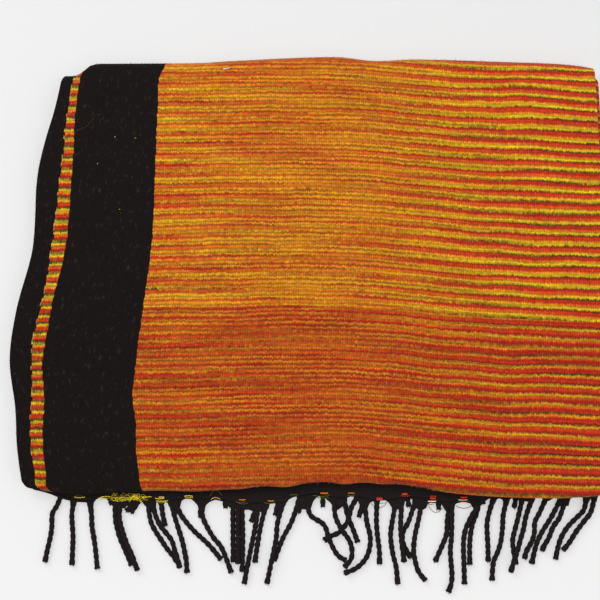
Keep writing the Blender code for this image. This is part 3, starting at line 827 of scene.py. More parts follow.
def weft_colour_with_painted_shading(nodes, across, along, inward):
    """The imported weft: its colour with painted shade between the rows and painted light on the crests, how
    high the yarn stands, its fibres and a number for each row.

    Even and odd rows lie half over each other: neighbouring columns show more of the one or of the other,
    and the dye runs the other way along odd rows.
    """
    lower = nodes.math("LESS_THAN", along, SWITCH_Y)
    narrow = nodes.math("LESS_THAN", inward, BLACK_EDGE + 2 * STRIPE)
    turned = nodes.math("MAXIMUM", lower, narrow)

    # Which rows show at each place
    tight = nodes.math("MULTIPLY_ADD", lower, 1 / PICK_LOWER - 1 / PICK_UPPER, 1 / PICK_UPPER)
    ragged = nodes.grain(nodes.vector(nodes.times(across, 420.0), nodes.times(along, 160.0), 0.0), 1.0, 1.0)
    row = nodes.sum(nodes.times(nodes.math("SUBTRACT", along, SWITCH_Y), tight), nodes.times(ragged, 1.8))
    halved = nodes.times(row, 0.5)
    next_halved = nodes.sum(halved, 0.5)
    pick = nodes.times(nodes.math("FLOOR", halved), 2.0)
    odd_pick = nodes.math("MULTIPLY_ADD", nodes.math("FLOOR", next_halved), 2.0, -1.0)
    bead = nodes.math("SINE", nodes.times(across, math.pi / WARP))
    own = nodes.math("MULTIPLY_ADD", bead, 0.5 - ROW_BLEND, 0.5)
    column = nodes.math("FLOOR", nodes.math("DIVIDE", across, 2 * WARP))

    # The dye on both rows
    step = nodes.math("MULTIPLY_ADD", lower, DYE_STEP_UPPER + DYE_STEP_LOWER, -DYE_STEP_UPPER)
    falls = nodes.math("MULTIPLY_ADD", lower, -2.0, 1.0)
    loose = nodes.math("MULTIPLY_ADD", inward, -0.66, 0.46)
    colours = []
    for number, way, seed in ((pick, 1.0, 0.0), (odd_pick, -1.0, 2.0)):
        place = nodes.sum(nodes.times(row, 1.0 - ROW_STEPS), nodes.times(nodes.sum(number, 1.0), ROW_STEPS))
        dye = row_dye(nodes, across, column, number, place, way, step, loose, seed)
        falling = nodes.math("FRACT", nodes.times(dye, falls))
        upper_colour = nodes.ramp(nodes.math("FRACT", dye), UPPER_DYES)
        lower_colour = nodes.blend(narrow, nodes.ramp(falling, LOWER_DYES), nodes.ramp(falling, STRIPE_DYES))
        colours.append(nodes.blend(turned, upper_colour, lower_colour))
    colour = nodes.blend(own, *colours)
    patch = nodes.grain(nodes.vector(nodes.times(across, 14.0), nodes.times(along, 60.0), 11.0), 1.0, 1.0)
    mixed = nodes.math("MULTIPLY_ADD", nodes.step(inward, MIXED_TO, MIXED_END), -MIXED, MIXED)
    mixed = nodes.times(mixed, nodes.step(inward, 0.08, 0.10), nodes.step(patch, 0.72, 0.42))
    cloud = nodes.grain(nodes.vector(nodes.times(across, 7.0), nodes.times(row, 0.11), 17.0), 1.0, 2.0)
    gold = nodes.step(cloud, 0.38, 0.62)
    common = nodes.blend(lower, nodes.blend(gold, (*UPPER_RUST, 1.0), (*UPPER_GOLD, 1.0)),
                         nodes.blend(gold, (*LOWER_RUST, 1.0), (*LOWER_GOLD, 1.0)))
    colour = nodes.blend(mixed, colour, common)

    # Round yarn with painted shade in the hollows between the rows, deeper away from the fold, and painted
    # light on the crests of the beads, with darker flecks and paler tips of fibre that sit on the crests as a
    # painted highlight
    stand = nodes.math("POWER", nodes.math("SINE", nodes.times(nodes.math("FRACT", halved), math.pi)), 2.0)
    second, third = (nodes.cell(nodes.vector(column, pick, place)) for place in (5.0, 9.0))
    fibre = nodes.grain(nodes.vector(nodes.times(across, 700.0), nodes.times(along, 2400.0), 3.0), 1.0)
    cloudy = nodes.grain(nodes.vector(nodes.times(across, 9.0), nodes.times(row, 0.13), 7.0), 1.0, 1.0)
    uneven = nodes.grain(nodes.vector(nodes.times(across, 70.0), nodes.times(row, 0.5), 13.0), 1.0, 1.0)
    depth = nodes.times(nodes.math("MULTIPLY_ADD", inward, -ROW_SHADE * 0.6, ROW_SHADE),
                        nodes.math("MULTIPLY_ADD", uneven, 2.4, -0.2))
    # Painted shade between the rows and painted light on the bead crests, times the random tone of cells,
    # fibres and clouds and the darker lower rows
    shade = nodes.times(
        nodes.math("MULTIPLY_ADD", nodes.math("SUBTRACT", stand, 0.5), depth, 0.79),
        nodes.math("MULTIPLY_ADD", nodes.times(bead, stand), 0.20, 1.0),
        nodes.math("MULTIPLY_ADD", second, 0.30, 0.85),
        nodes.math("MULTIPLY_ADD", fibre, 0.5, 0.75),
        nodes.math("MULTIPLY_ADD", cloudy, 0.5, 0.75),
        nodes.math("MULTIPLY_ADD", lower, LOWER_DARKENING - 1.0, 1.0),
    )
    colour = nodes.blend(1.0, colour, nodes.vector(shade, shade, shade), "MULTIPLY")
    # Paler fibre tips on a few beads, only on the crests of the yarn, so partly a painted highlight
    pale_tips_and_highlight = nodes.times(nodes.math("LESS_THAN", third, 0.10), nodes.math("MAXIMUM", bead, 0.0), stand, 0.10)
    colour = nodes.blend(pale_tips_and_highlight, colour, (*STRAW, 1.0))
    return colour, stand, fibre, pick


def woven_wool(name, reverse):
    """Double weave: a coloured weft face with black borders, and its reverse with a coloured border."""
    nodes = Nodes(name)
    weave = nodes.add("ShaderNodeUVMap", uv_map="weave")
    split = nodes.add("ShaderNodeSeparateXYZ")
    nodes.feed(split.inputs[0], weave.outputs[0])
    across, along = split.outputs[0], split.outputs[1]
    inward = nodes.math("SUBTRACT", HALF_WIDTH + FOLD_HALF, nodes.math("ABSOLUTE", across))
    colour, stand, fibre, pick = weft_colour_with_painted_shading(nodes, across, along, inward)

    # Black warp face of the borders, with a few fibres of lint
    fuzz = nodes.grain(nodes.vector(nodes.times(across, 900.0), nodes.times(along, 700.0), 5.0), 1.0, 3.0)
    strand = nodes.grain(nodes.vector(nodes.times(across, 260.0), nodes.times(along, 120.0), 8.0), 1.0, 4.0)
    lint = nodes.times(nodes.step(strand, 0.56, 0.78), 0.45)
    dark = nodes.blend(nodes.sum(lint, nodes.times(fuzz, 0.12)), (*BLACK_WOOL, 1.0), (*BLACK_WOOL_LINT, 1.0))

    # The bands, from the selvedge inwards: their edges step in and out with the rows
    chance = nodes.cell(nodes.vector(pick, 3.0, 0.0))
    place = nodes.sum(inward, nodes.math("MULTIPLY_ADD", chance, 0.0012, -0.0006))
    outer = nodes.sum(inward, nodes.math("MULTIPLY_ADD", chance, 0.0030, -0.0015))
    marks = [(outer, BLACK_EDGE), (place, BLACK_EDGE + STRIPE), (place, BLACK_EDGE + STRIPE + BLACK_BAND)]
    if reverse:
        marks = [(place, BLACK_EDGE + STRIPE), (place, BLACK_EDGE + STRIPE + 0.058)]
    soft = 0.0004
    steps = [nodes.step(value, mark - soft, mark + soft) for value, mark in marks]
    coloured = nodes.math("SUBTRACT", steps[0], steps[1])
    if not reverse:
        coloured = nodes.sum(coloured, steps[2])
        behind_edge = nodes.step(outer, BLACK_EDGE + 0.0009, BLACK_EDGE + 0.0014)
        at_edge = nodes.math("SUBTRACT", steps[0], behind_edge)
        dots = nodes.times(at_edge, nodes.math("GREATER_THAN", chance, 0.60), 0.20)
        colour = nodes.blend(dots, colour, (*STRAW, 1.0))
    colour = nodes.blend(coloured, dark, colour)
    height = nodes.sum(nodes.times(stand, coloured, 0.9), nodes.times(fuzz, 0.6), nodes.times(fibre, 0.35))
    return soft_wool(nodes, colour, height, 0.5, 0.0006, nodes.math("MULTIPLY_ADD", coloured, 0.8, 0.2))


def black_cord_wool(name):
    nodes = Nodes(name)
    place = nodes.add("ShaderNodeTexCoord").outputs["Object"]
    fibre = nodes.grain(place, 900.0, 3.0)
    patch = nodes.grain(place, 90.0, 2.0)
    share = nodes.times(nodes.step(fibre, 0.50, 0.85), nodes.math("MULTIPLY_ADD", patch, 0.5, 0.1))
    colour = nodes.blend(share, (*BLACK_CORD, 1.0), (*BLACK_CORD_LINT, 1.0))
    return soft_wool(nodes, colour, fibre, 0.5, 0.0005, nodes.math("MULTIPLY_ADD", patch, 0.1, 0.15))


def dyed_yarn():
    """Loose weft: each yarn keeps its own place in the list of loose dyes."""
    nodes = Nodes("dyed weft yarn")
    weave = nodes.add("ShaderNodeUVMap", uv_map="weave")
    split = nodes.add("ShaderNodeSeparateXYZ")
    nodes.feed(split.inputs[0], weave.outputs[0])
    place = nodes.add("ShaderNodeTexCoord").outputs["Object"]
    fibre = nodes.grain(place, 1500.0, 2.0)
    dye = nodes.ramp(split.outputs[0], LOOSE_DYES)
    shade = nodes.math("MULTIPLY_ADD", fibre, 0.8, 0.6)
    colour = nodes.blend(1.0, dye, nodes.vector(shade, shade, shade), "MULTIPLY")
    return soft_wool(nodes, colour, fibre, 0.4, 0.0003)


def link_mesh(mesh, name, materials):
    """Puts a finished mesh in the scene as a smooth piece."""
    for vert in mesh.verts:
        vert.co.z = max(vert.co.z, 0.0)
    data = bpy.data.meshes.new(name)
    mesh.to_mesh(data)
    mesh.free()
    data.shade_smooth()
    for material in materials:
        data.materials.append(material)
    piece = bpy.data.objects.new(name, data)
    bpy.context.scene.collection.objects.link(piece)
    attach(piece, "root")
    return piece


def make_cloth():
    mesh = bmesh.new()
    weave = mesh.loops.layers.uv.new("weave")
    rings = cloth_rings()
    loops = [[(mesh.verts.new(point), uv) for point, uv in ring] for ring in rings]
    count = len(rings[0])
    half = count // 2

    def add(corners, material):
        face = mesh.faces.new([vert for vert, uv in corners])
        face.material_index = material
        for loop, (vert, uv) in zip(face.loops, corners):
            loop[weave].uv = uv

    for index, (ring, next_ring) in enumerate(zip(loops, loops[1:])):
        near_hem = min(index, len(loops) - 2 - index) < HEM_BORDER
        for k in range(count):
            following = (k + 1) % count
            reverse = half <= k < count - 1
            material = 2 if near_hem else 1 if reverse else 0
            add((ring[k], ring[following], next_ring[following], next_ring[k]), material)
    for ring in (loops[0], loops[-1]):
        for k in range(half - 1):
            add((ring[k], ring[k + 1], ring[count - 2 - k], ring[count - 1 - k]), 2)
    bmesh.ops.recalc_face_normals(mesh, faces=mesh.faces)
    surface = BVHTree.FromBMesh(mesh)
    materials = [woven_wool("woven wool", False), woven_wool("woven wool reverse", True)]
    materials.append(black_cord_wool("black hem"))
    cloth = link_mesh(mesh, "blanket_cloth", materials)
    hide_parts("woven_cloth")
    return cloth, surface


def rounded_route(points, step):
    """Even stations on a smooth curve through points, as (x, y) in metres."""
    ends = [points[0] * 2 - points[1], *points, points[-1] * 2 - points[-2]]
    fine = []
    for k in range(1, len(ends) - 2):
        before, start, end, after = ends[k - 1:k + 3]
        for n in range(20):
            t = n / 20
            square = 2 * before - 5 * start + 4 * end - after
            cube = 3 * start - before - 3 * end + after
            fine.append(0.5 * (2 * start + (end - before) * t + square * t ** 2 + cube * t ** 3))
    fine.append(points[-1])
    stations = [fine[0]]
    left_over = 0.0
    for start, end in zip(fine, fine[1:]):
        span = (end - start).length
        place = step - left_over
        while place <= span:
            stations.append(start.lerp(end, place / span))
            place += step
        left_over = span - (place - step)
    return stations


def hem_point(run, x):
    """The middle of the showing hem at x: its settled y and z."""
    station = (run, FRONT_CENTRE, PAIR_Z[0 if run == 0 else 1], 0.0, 1.0 if run == 0 else -1.0)
    y = hem_place(run, False, x)
    z = station[2] + PITCH / 2 * station[4]
    _, settled_y, settled_z = settle(x, y, z)
    return settled_y, settled_z


def bunch_height(distance, start, reach):
    """How high the middle of a bunch lies at a distance from its hem."""
    return mix(start, CORD_RADIUS * CORD_LIFT, smooth(distance / (reach * 1.25)))


def cord_profile(distance, length, gather_half, reach):
    """Half width, half height and depth of the twist's grooves along a cord."""
    gathered = min(1.0, distance / reach)
    end = smooth((distance - length + 0.006) / 0.006)
    half_width = mix(gather_half, CORD_RADIUS, 1.0 - (1.0 - gathered) ** 2) * (1.0 + 0.14 * end)
    half_height = mix(0.0005, CORD_RADIUS, smooth((distance - 0.002) / (reach - 0.002))) * (1.0 + 0.05 * end)
    grooves = 0.30 * smooth((distance - 0.004) / 0.009) * (1.0 - 0.5 * end)
    return half_width, half_height, grooves


def add_tube(mesh, centres, sections, sides):
    """A closed tube: each section gives the ring's points around its centre, in its own plane."""
    rings = []
    for k, centre in enumerate(centres):
        ahead = centres[min(k + 1, len(centres) - 1)] - centres[max(k - 1, 0)]
        ahead.normalize()
        side = ahead.cross(Vector((0, 0, 1)))
        if side.length < 1e-6:
            side = Vector((1, 0, 0))
        side.normalize()
        up = side.cross(ahead)
        rings.append([mesh.verts.new(centre + side * a + up * b) for a, b in sections[k]])
    for ring, following in zip(rings, rings[1:]):
        for k in range(sides):
            mesh.faces.new((ring[k], ring[(k + 1) % sides], following[(k + 1) % sides], following[k]))
    mesh.faces.new(rings[0][::-1])
    mesh.faces.new(rings[-1])


def cord_sections(count, step, gather_half, reach, phase, seed):
    """The twisted outline of a cord at each of its stations, with a blunt, slightly open end."""
    length = (count - 1) * step
    sections = []
    for k in range(count):
        distance = k * step
        half_width, half_height, grooves = cord_profile(distance, length, gather_half, reach)
        uneven = 1.0 + 0.09 * noise.noise(Vector((distance * 110.0, seed * 3.7, 0.0)))
        turned = phase + 2 * math.pi * distance / TWIST
        turned += 0.7 * noise.noise(Vector((distance * 60.0, seed * 1.9, 4.0)))
        points = []
        for n in range(CORD_SIDES):
            angle = 2 * math.pi * n / CORD_SIDES
            lobes = abs(math.cos(angle - turned)) ** 0.9
            open_end = 1.0
            if k > count - 3:
                open_end += 0.12 * noise.noise(Vector((n * 1.3, seed * 2.1, 8.0)))
            size = (1.0 - grooves * (1.0 - lobes)) * uneven * open_end
            points.append((half_width * size * math.cos(angle), half_height * size * math.sin(angle)))
        sections.append(points)
    last = sections[-1]
    sections.append([(a * 0.80, b * 0.80) for a, b in last])
    return sections


def lay_heights(routes, starts, reaches):
    """Lays the cords on the floor one after another, each over those before it where they cross."""
    laid_points = []
    heights = []
    floor = CORD_RADIUS * CORD_LIFT
    for route, start, reach in zip(routes, starts, reaches):
        tree = KDTree(len(laid_points))
        for index, point in enumerate(laid_points):
            tree.insert((point.x, point.y, 0.0), index)
        tree.balance()
        wanted = []
        for station in route:
            height = floor
            for _, index, away in tree.find_range((station.x, station.y, 0.0), 2 * CORD_RADIUS):
                rest = laid_points[index].z + math.sqrt(max(0.0, (CORD_CLEAR * CORD_RADIUS) ** 2 - away ** 2))
                height = max(height, rest)
            wanted.append(height)
        around = 7
        eased = []
        for k in range(len(wanted)):
            near = [wanted[j] - 0.00025 * abs(j - k) ** 1.3
                    for j in range(max(0, k - around), min(len(wanted), k + around + 1))]
            eased.append(max(near))
        for k in range(len(eased)):
            share = smooth(k * CORD_STEP / (reach * 1.25))
            eased[k] = mix(start, eased[k], share)
        heights.append(eased)
        laid_points += [Vector((s.x, s.y, z)) for s, z in zip(route, eased)]
    return heights


def make_warp_ends(mesh):
    """The warp beyond the showing hem's last weft: a thin sheet cut into arches between the bunches."""
    edge_rows = [(x / 1000, y / 1000) for x, y in WARP_EDGE]
    rings = []
    count = int((edge_rows[-1][0] - edge_rows[0][0]) / WARP_COLUMN)
    index = 0
    for k in range(count + 1):
        x = mix(edge_rows[0][0], edge_rows[-1][0], k / count)
        while index < len(edge_rows) - 2 and x > edge_rows[index + 1][0]:
            index += 1
        (x0, y0), (x1, y1) = edge_rows[index], edge_rows[index + 1]
        root_y, root_z = hem_point(3, x)
        end_y = min(mix(y0, y1, (x - x0) / (x1 - x0)), root_y - 0.0010)
        start = root_z - SHEET / 2 - 0.0008
        upper, lower = [], []
        thick = min(1.0, 0.4 + min(k, count - k) * 0.3)
        stops = [(root_y + WARP_TUCK, 0.35), (root_y + 0.0003, 0.45)]
        for share, full in ((0.0, 0.5), (0.25, 0.8), (0.5, 1.0), (0.75, 1.0), (0.92, 0.85), (1.0, 0.45)):
            stops.append((mix(root_y - 0.0002, end_y, share), full))
        for y, full in stops:
            distance = max(0.0, root_y - y)
            middle = bunch_height(distance, start, GATHER)
            middle += 0.0004 * noise.noise(Vector((x * 330.0, y * 60.0, 6.0))) * smooth(distance / 0.003)
            half = WARP_HALF * full * thick
            upper.append(mesh.verts.new((x, y, middle + half)))
            lower.append(mesh.verts.new((x, y, middle - half)))
        rings.append(upper + lower[::-1])
    size = len(rings[0])
    for ring, following in zip(rings, rings[1:]):
        for k in range(size):
            mesh.faces.new((ring[k], ring[(k + 1) % size], following[(k + 1) % size], following[k]))
    mesh.faces.new(rings[0][::-1])
    mesh.faces.new(rings[-1])


def add_fibre(mesh, points, radius):
    """One thin hair along points, which tapers to its tip."""
    sections = []
    for k in range(len(points)):
        thick = radius * (1.0 - 0.75 * k / (len(points) - 1))
        sections.append([(thick * math.cos(a), thick * math.sin(a)) for a in (0.0, 2.1, 4.2)])
    add_tube(mesh, points, sections, 3)


def fray(mesh, centre, ahead, chance):
    """A tuft of short fibres at a cord's cut end."""
    side = Vector((ahead.y, -ahead.x, 0.0))
    for _ in range(7):
        spread = chance.uniform(-0.5, 0.5)
        rise = chance.uniform(-0.25, 0.25)
        start = centre + side * chance.uniform(-0.0022, 0.0022)
        start = start + Vector((0, 0, chance.uniform(-0.0018, 0.0018)))
        way = (ahead + side * spread + Vector((0, 0, rise))).normalized()
        length = chance.uniform(0.0008, 0.0020)
        points = [start - way * 0.001, start + way * length * 0.5, start + way * length]
        for point in points:
            point.z = max(point.z, 0.0005)
        add_fibre(mesh, points, 0.00032)


def add_nap(mesh, centres, radius, chance, spacing):
    """Short hairs that stand off a cord along its length."""
    for k in range(6, len(centres) - 1):
        if chance.random() > CORD_STEP / spacing:
            continue
        ahead = (centres[k + 1] - centres[k - 1]).normalized()
        side = Vector((ahead.y, -ahead.x, 0.0)) * chance.choice((-1.0, 1.0))
        tilt = chance.uniform(-0.9, 0.9)
        way = (side + ahead * tilt + Vector((0, 0, chance.uniform(0.0, 0.5)))).normalized()
        start = centres[k] + side * radius * 0.8
        length = chance.uniform(0.0008, 0.0024)
        bend = ahead * chance.uniform(-0.0006, 0.0006)
        points = [start, start + way * length * 0.5 + bend * 0.3, start + way * length + bend]
        for point in points:
            point.z = max(point.z, 0.0005)
        add_fibre(mesh, points, 0.00011)


def make_cords():
    """The twisted cords of both hems, laid on the floor as the photo shows them."""
    material = black_cord_wool("black cord wool")
    order = sorted(range(len(CORDS)), key=lambda k: CORDS[k][0] == "upper")
    routes, starts, reaches = [], [], []
    for k in order:
        hem, rows = CORDS[k]
        root_x = rows[0][0] / 1000
        root_y, root_z = hem_point(0 if hem == "lower" else 3, root_x)
        tuck = -PARTING if hem == "lower" else 0.0010
        points = [Vector((root_x, root_y + tuck, 0.0))]
        points += [Vector((x / 1000, y / 1000, 0.0)) for x, y in rows[1:]]
        first = points[1] - points[0]
        points.insert(1, points[0] + Vector((first.x * 0.12, -0.006, 0.0)))
        routes.append(rounded_route(points, CORD_STEP))
        starts.append(root_z if hem == "lower" else root_z - SHEET / 2 - 0.0008)
        reaches.append(LONG_GATHER if hem == "lower" else GATHER)
    heights = lay_heights(routes, starts, reaches)
    meshes = {"lower": bmesh.new(), "upper": bmesh.new()}
    chance = random.Random(11)
    for index, k in enumerate(order):
        hem = CORDS[k][0]
        centres = [Vector((s.x, s.y, z)) for s, z in zip(routes[index], heights[index])]
        ahead = (centres[-1] - centres[-3]).normalized()
        phase = chance.uniform(0, 6.28)
        sections = cord_sections(len(centres), CORD_STEP, GATHER_HALF, reaches[index], phase, k)
        add_nap(meshes[hem], centres, CORD_RADIUS, chance, 0.0022)
        centres.append(centres[-1] + ahead * 0.0006)
        add_tube(meshes[hem], centres, sections, CORD_SIDES)
        fray(meshes[hem], centres[-1], ahead, chance)
    for x, y, lean in STUBS:
        add_stub(meshes["lower"], x / 1000, y / 1000, lean, chance)
    make_warp_ends(meshes["upper"])
    for hem, node in (("lower", "fringe_lower"), ("upper", "fringe_upper")):
        bmesh.ops.recalc_face_normals(meshes[hem], faces=meshes[hem].faces)
        piece = link_mesh(meshes[hem], "cords_" + hem, [material])
        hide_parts(node)


def add_stub(mesh, tip_x, tip_y, lean, chance):
    """A cord from the drawn-back hem, flat under the layers, whose end shows at the front."""
    root_y = DRAWN_HEM - 0.004
    shown_from = read_curve(FRONT_EDGE, tip_x) + 0.001
    shown = shown_from - tip_y
    root_x = tip_x - lean * shown
    way = [(root_x, root_y), (root_x, (root_y + shown_from) / 2), (root_x, shown_from), (tip_x, tip_y)]
    points = [Vector((x, y, STUB_HEIGHT)) for x, y in way]
    centres = rounded_route(points, CORD_STEP)
    sections = []
    phase = chance.uniform(0.0, 6.28)
    for k, centre in enumerate(centres):
        outside = smooth((shown_from - centre.y) / 0.005)
        wide = mix(0.0030, CORD_RADIUS * 1.02, outside)
        high = mix(0.0012, 0.0026, outside)
        centre.z += 0.0012 * outside
        points = []
        for n in range(CORD_SIDES):
            angle = 2 * math.pi * n / CORD_SIDES
            lobes = abs(math.cos(angle - phase - 2 * math.pi * k * CORD_STEP / TWIST)) ** 0.9
            size = 1.0 - 0.28 * outside * (1.0 - lobes)
            points.append((wide * size * math.cos(angle), high * size * math.sin(angle)))
        sections.append(points)
    ahead = (centres[-1] - centres[-3]).normalized()
    sections.append([(a * 0.80, b * 0.80) for a, b in sections[-1]])
    centres.append(centres[-1] + ahead * 0.0006)
    add_tube(mesh, centres, sections, CORD_SIDES)
    fray(mesh, centres[-1], ahead, chance)


def add_loop(mesh, weave, points, radius, dye):
    """A loose yarn along points, with the dye's place kept on it."""
    sections = [[(radius * math.cos(2 * math.pi * n / 6), radius * math.sin(2 * math.pi * n / 6))
                 for n in range(6)] for _ in points]
    sections[0] = [(a * 0.5, b * 0.5) for a, b in sections[0]]
    sections[-1] = [(a * 0.5, b * 0.5) for a, b in sections[-1]]
    before = len(mesh.faces)
    add_tube(mesh, points, sections, 6)
    mesh.faces.ensure_lookup_table()
    for face in mesh.faces[before:]:
        for loop in face.loops:
            loop[weave].uv = (dye, loop.vert.co.x)


def make_loops():
    """Weft that has slipped from the showing hem: arcs between the bunches and a frayed stretch."""
    mesh = bmesh.new()
    weave = mesh.loops.layers.uv.new("weave")
    for x, y, half, sag, radius, dye in LOOPS:
        top = hem_point(3, x / 1000)[1] + SHEET / 2 + radius / 1000
        points = []
        for k in range(15):
            share = k / 7 - 1.0
            drop = (1.0 - share * share)
            beyond = max(0.0, -(y / 1000 - sag / 1000 * drop) + read_curve(HEM_EDGE, x / 1000))
            points.append(Vector(((x + half * share) / 1000, (y - sag * drop) / 1000,
                                  max(0.0008, top - 0.9 * beyond))))
        for k, point in enumerate(points):
            point.y += 0.00025 * math.sin(1.7 * k + x)
        add_loop(mesh, weave, points, 0.85 * radius / 1000, dye)
    chance = random.Random(5)
    for k in range(HEM_WISPS):
        x = chance.uniform(-0.216, -0.176)
        y = chance.uniform(-0.2556, -0.2490)
        half = chance.uniform(0.003, 0.009)
        wave = chance.uniform(0.0004, 0.0014)
        turns = chance.uniform(1.0, 2.2)
        tilt = chance.uniform(-0.10, 0.10)
        dye = chance.choice((0.12, 0.18, 0.22, 0.27, 0.32, 0.38))
        top = hem_point(3, x)[1] + SHEET / 2 + chance.uniform(0.0002, 0.0012)
        points = []
        for n in range(17):
            share = n / 8 - 1.0
            swing = wave * math.sin(turns * math.pi * share + k)
            points.append(Vector((x + half * share, y + swing + tilt * half * share,
                                  top + 0.0005 * math.sin(5 * share + k))))
        add_loop(mesh, weave, points, chance.uniform(0.00014, 0.00028), dye)
    bmesh.ops.recalc_face_normals(mesh, faces=mesh.faces)
    piece = link_mesh(mesh, "loose_weft", [dyed_yarn()])


def top_height(surface, x, y):
    """The height of the cloth's upper side at a place, or None beside it."""
    place = surface.ray_cast(Vector((x, y, 0.2)), Vector((0.0, 0.0, -1.0)))[0]
    return place.z if place else None


def plain_wool(name, colour):
    nodes = Nodes(name)
    fibre = nodes.grain(nodes.add("ShaderNodeTexCoord").outputs["Object"], 1500.0, 2.0)
    shade = nodes.math("MULTIPLY_ADD", fibre, 0.6, 0.7)
    shaded = nodes.blend(1.0, (*colour, 1.0), nodes.vector(shade, shade, shade), "MULTIPLY")
    return soft_wool(nodes, shaded, fibre, 0.4, 0.0003, 0.5)


def make_lint(surface):
    """Stray fibres on the cloth: many fine grey ones on the black bands, and a few that stand out."""
    mesh = bmesh.new()
    chance = random.Random(23)
    rows = []
    for x, y, length, angle, radius, tone in LINT:
        rows.append((x / 1000, y / 1000, length / 1000, angle, radius / 1000, tone))
    for _ in range(BAND_FIBRES):
        y = chance.uniform(-0.235, 0.235)
        band_end = read_curve(BAND_END, y)
        x = chance.uniform(band_end - 0.088, band_end - 0.003)
        length = chance.uniform(0.0015, 0.0075)
        angle = chance.uniform(0.0, math.pi)
        rows.append((x, y, length, angle, chance.uniform(0.00007, 0.00014), 0))
    for x, y, length, angle, radius, tone in rows:
        bend = chance.uniform(-0.9, 0.9) if tone == 0 else 0.1
        points = []
        for k in range(7):
            share = k / 6 - 0.5
            turned = angle + bend * share
            px, py = x + length * share * math.cos(turned), y + length * share * math.sin(turned)
            height = top_height(surface, px, py)
            if height is not None:
                points.append(Vector((px, py, height + radius * 1.3)))
        if len(points) < 3:
            continue
        before = len(mesh.faces)
        add_fibre(mesh, points, radius)
        mesh.faces.ensure_lookup_table()
        for face in mesh.faces[before:]:
            face.material_index = tone
    bmesh.ops.recalc_face_normals(mesh, faces=mesh.faces)
    materials = [plain_wool("grey lint", GREY_LINT), plain_wool("white lint", WHITE_LINT),
                 plain_wool("brown lint", BROWN_LINT), plain_wool("yellow lint", YELLOW)]
    piece = link_mesh(mesh, "lint", materials)


def make_edge_nap(surface):
    """Short hairs along the cloth's outline: black at the selvedge and the bands, dyed along the folds."""
    meshes = (bmesh.new(), bmesh.new())
    weave = meshes[1].loops.layers.uv.new("weave")
    chance = random.Random(41)
    hairs = []
    for _ in range(FOLD_HAIRS):
        x = chance.uniform(-0.300, 0.322)
        hairs.append((x, read_curve(FRONT_EDGE, x) + 0.0012, -math.pi / 2))
        hairs.append((x, read_curve(BACK_EDGE, x) - 0.0012, math.pi / 2))
    for _ in range(SIDE_HAIRS):
        y = chance.uniform(-0.235, 0.225)
        hairs.append((read_curve(LEFT_EDGE, y) + 0.0008, y, math.pi))
        hairs.append((FOLD - 0.0012, y, 0.0))
    for x, y, angle in hairs:
        height = top_height(surface, x, y)
        if height is None:
            continue
        angle += chance.uniform(-0.9, 0.9)
        way = Vector((math.cos(angle), math.sin(angle), chance.uniform(-0.5, 0.4)))
        start = Vector((x, y, height - 0.0008))
        length = chance.uniform(0.0010, 0.0030)
        curl = Vector((chance.uniform(-0.0006, 0.0006), chance.uniform(-0.0006, 0.0006), 0.0))
        points = [start, start + way * length * 0.5 + curl * 0.3, start + way * length + curl]
        dyed = x > read_curve(BAND_END, y)
        mesh = meshes[1 if dyed else 0]
        before = len(mesh.faces)
        add_fibre(mesh, points, 0.00010)
        if dyed:
            mesh.faces.ensure_lookup_table()
            dye = chance.choice((0.05, 0.25, 0.62, 0.68, 0.72, 0.80, 0.88))
            for face in mesh.faces[before:]:
                for loop in face.loops:
                    loop[weave].uv = (dye, 0.0)
    materials = (black_cord_wool("black nap"), dyed_yarn())
    for mesh, name, material in zip(meshes, ("black_nap", "dyed_nap"), materials):
        bmesh.ops.recalc_face_normals(mesh, faces=mesh.faces)
        piece = link_mesh(mesh, name, [material])


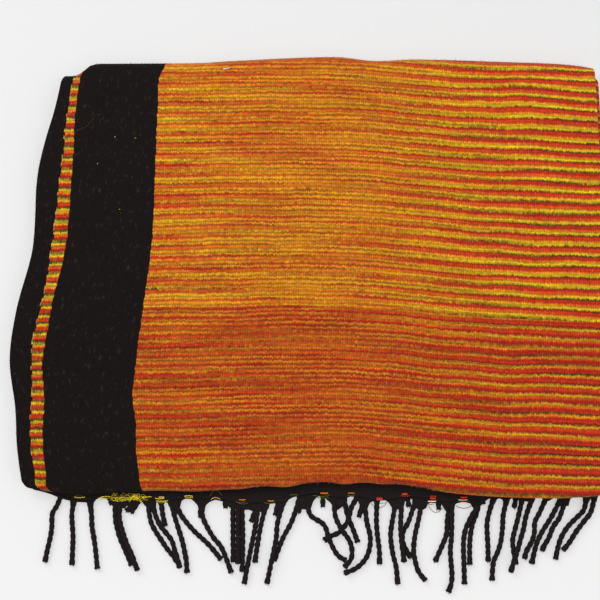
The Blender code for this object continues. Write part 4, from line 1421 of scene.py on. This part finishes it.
def make_floor():
    mesh = bmesh.new()
    reach = 6.0
    corners = [(-reach, -reach), (reach, -reach), (reach, reach), (-reach, reach)]
    mesh.faces.new([mesh.verts.new((x, y, -0.0003)) for x, y in corners])
    data = bpy.data.meshes.new("floor")
    mesh.to_mesh(data)
    mesh.free()
    nodes = Nodes("glowing white paper")
    nodes.shader.inputs["Base Color"].default_value = (0.36, 0.358, 0.358, 1.0)
    nodes.shader.inputs["Roughness"].default_value = 0.95
    nodes.shader.inputs["Specular IOR Level"].default_value = 0.05
    split = nodes.add("ShaderNodeSeparateXYZ")
    nodes.feed(split.inputs[0], nodes.add("ShaderNodeTexCoord").outputs["Object"])
    # Painted light: the floor glows, a little more towards the front, so that the shadows on it stay pale
    nodes.shader.inputs["Emission Color"].default_value = (1.0, 0.997, 0.997, 1.0)
    glow = nodes.math("MULTIPLY_ADD", split.outputs[1], FLOOR_SLOPE, FLOOR_GLOW)
    kept = nodes.math("MINIMUM", nodes.math("MAXIMUM", glow, 0.40), 0.56)
    nodes.feed(nodes.shader.inputs["Emission Strength"], kept)
    data.materials.append(nodes.material)
    floor = bpy.data.objects.new("floor", data)
    bpy.context.scene.collection.objects.link(floor)


def make_light(name, place, target, size, power):
    data = bpy.data.lights.new(name, "AREA")
    data.size = size
    data.energy = power
    light = bpy.data.objects.new(name, data)
    light.location = place
    light.rotation_euler = (Vector(target) - Vector(place)).to_track_quat("-Z", "Y").to_euler()
    bpy.context.scene.collection.objects.link(light)


def make_stage():
    """A white floor that glows a little, in a bright, even room, with soft light from above and a little from
    the left.
    """
    make_floor()
    world = bpy.data.worlds.new("bright room")
    world.use_nodes = True
    world.node_tree.nodes["Background"].inputs["Color"].default_value = (1.0, 1.0, 1.0, 1.0)
    world.node_tree.nodes["Background"].inputs["Strength"].default_value = 0.62
    bpy.context.scene.world = world
    make_light("soft key", (-1.1, 0.9, 1.7), (0.0, 0.0, 0.0), 1.6, 26.0)
    make_light("soft fill", (1.2, -0.9, 1.9), (0.0, 0.0, 0.0), 1.8, 12.0)
    bpy.context.scene.view_settings.view_transform = "Standard"


def make_camera():
    """The photo's view: almost from above, a little from the front."""
    data = bpy.data.cameras.new("camera")
    data.sensor_width = 36.0
    data.lens = 69.0
    camera = bpy.data.objects.new("camera", data)
    camera.location = (-0.0125, -0.3236, 1.2526)
    camera.rotation_euler = (math.radians(13.0), 0.0, 0.0)
    bpy.context.scene.collection.objects.link(camera)
    bpy.context.scene.camera = camera


make_camera()
cloth, cloth_surface = make_cloth()
make_cords()
make_loops()
make_lint(cloth_surface)
make_edge_nap(cloth_surface)
make_stage()
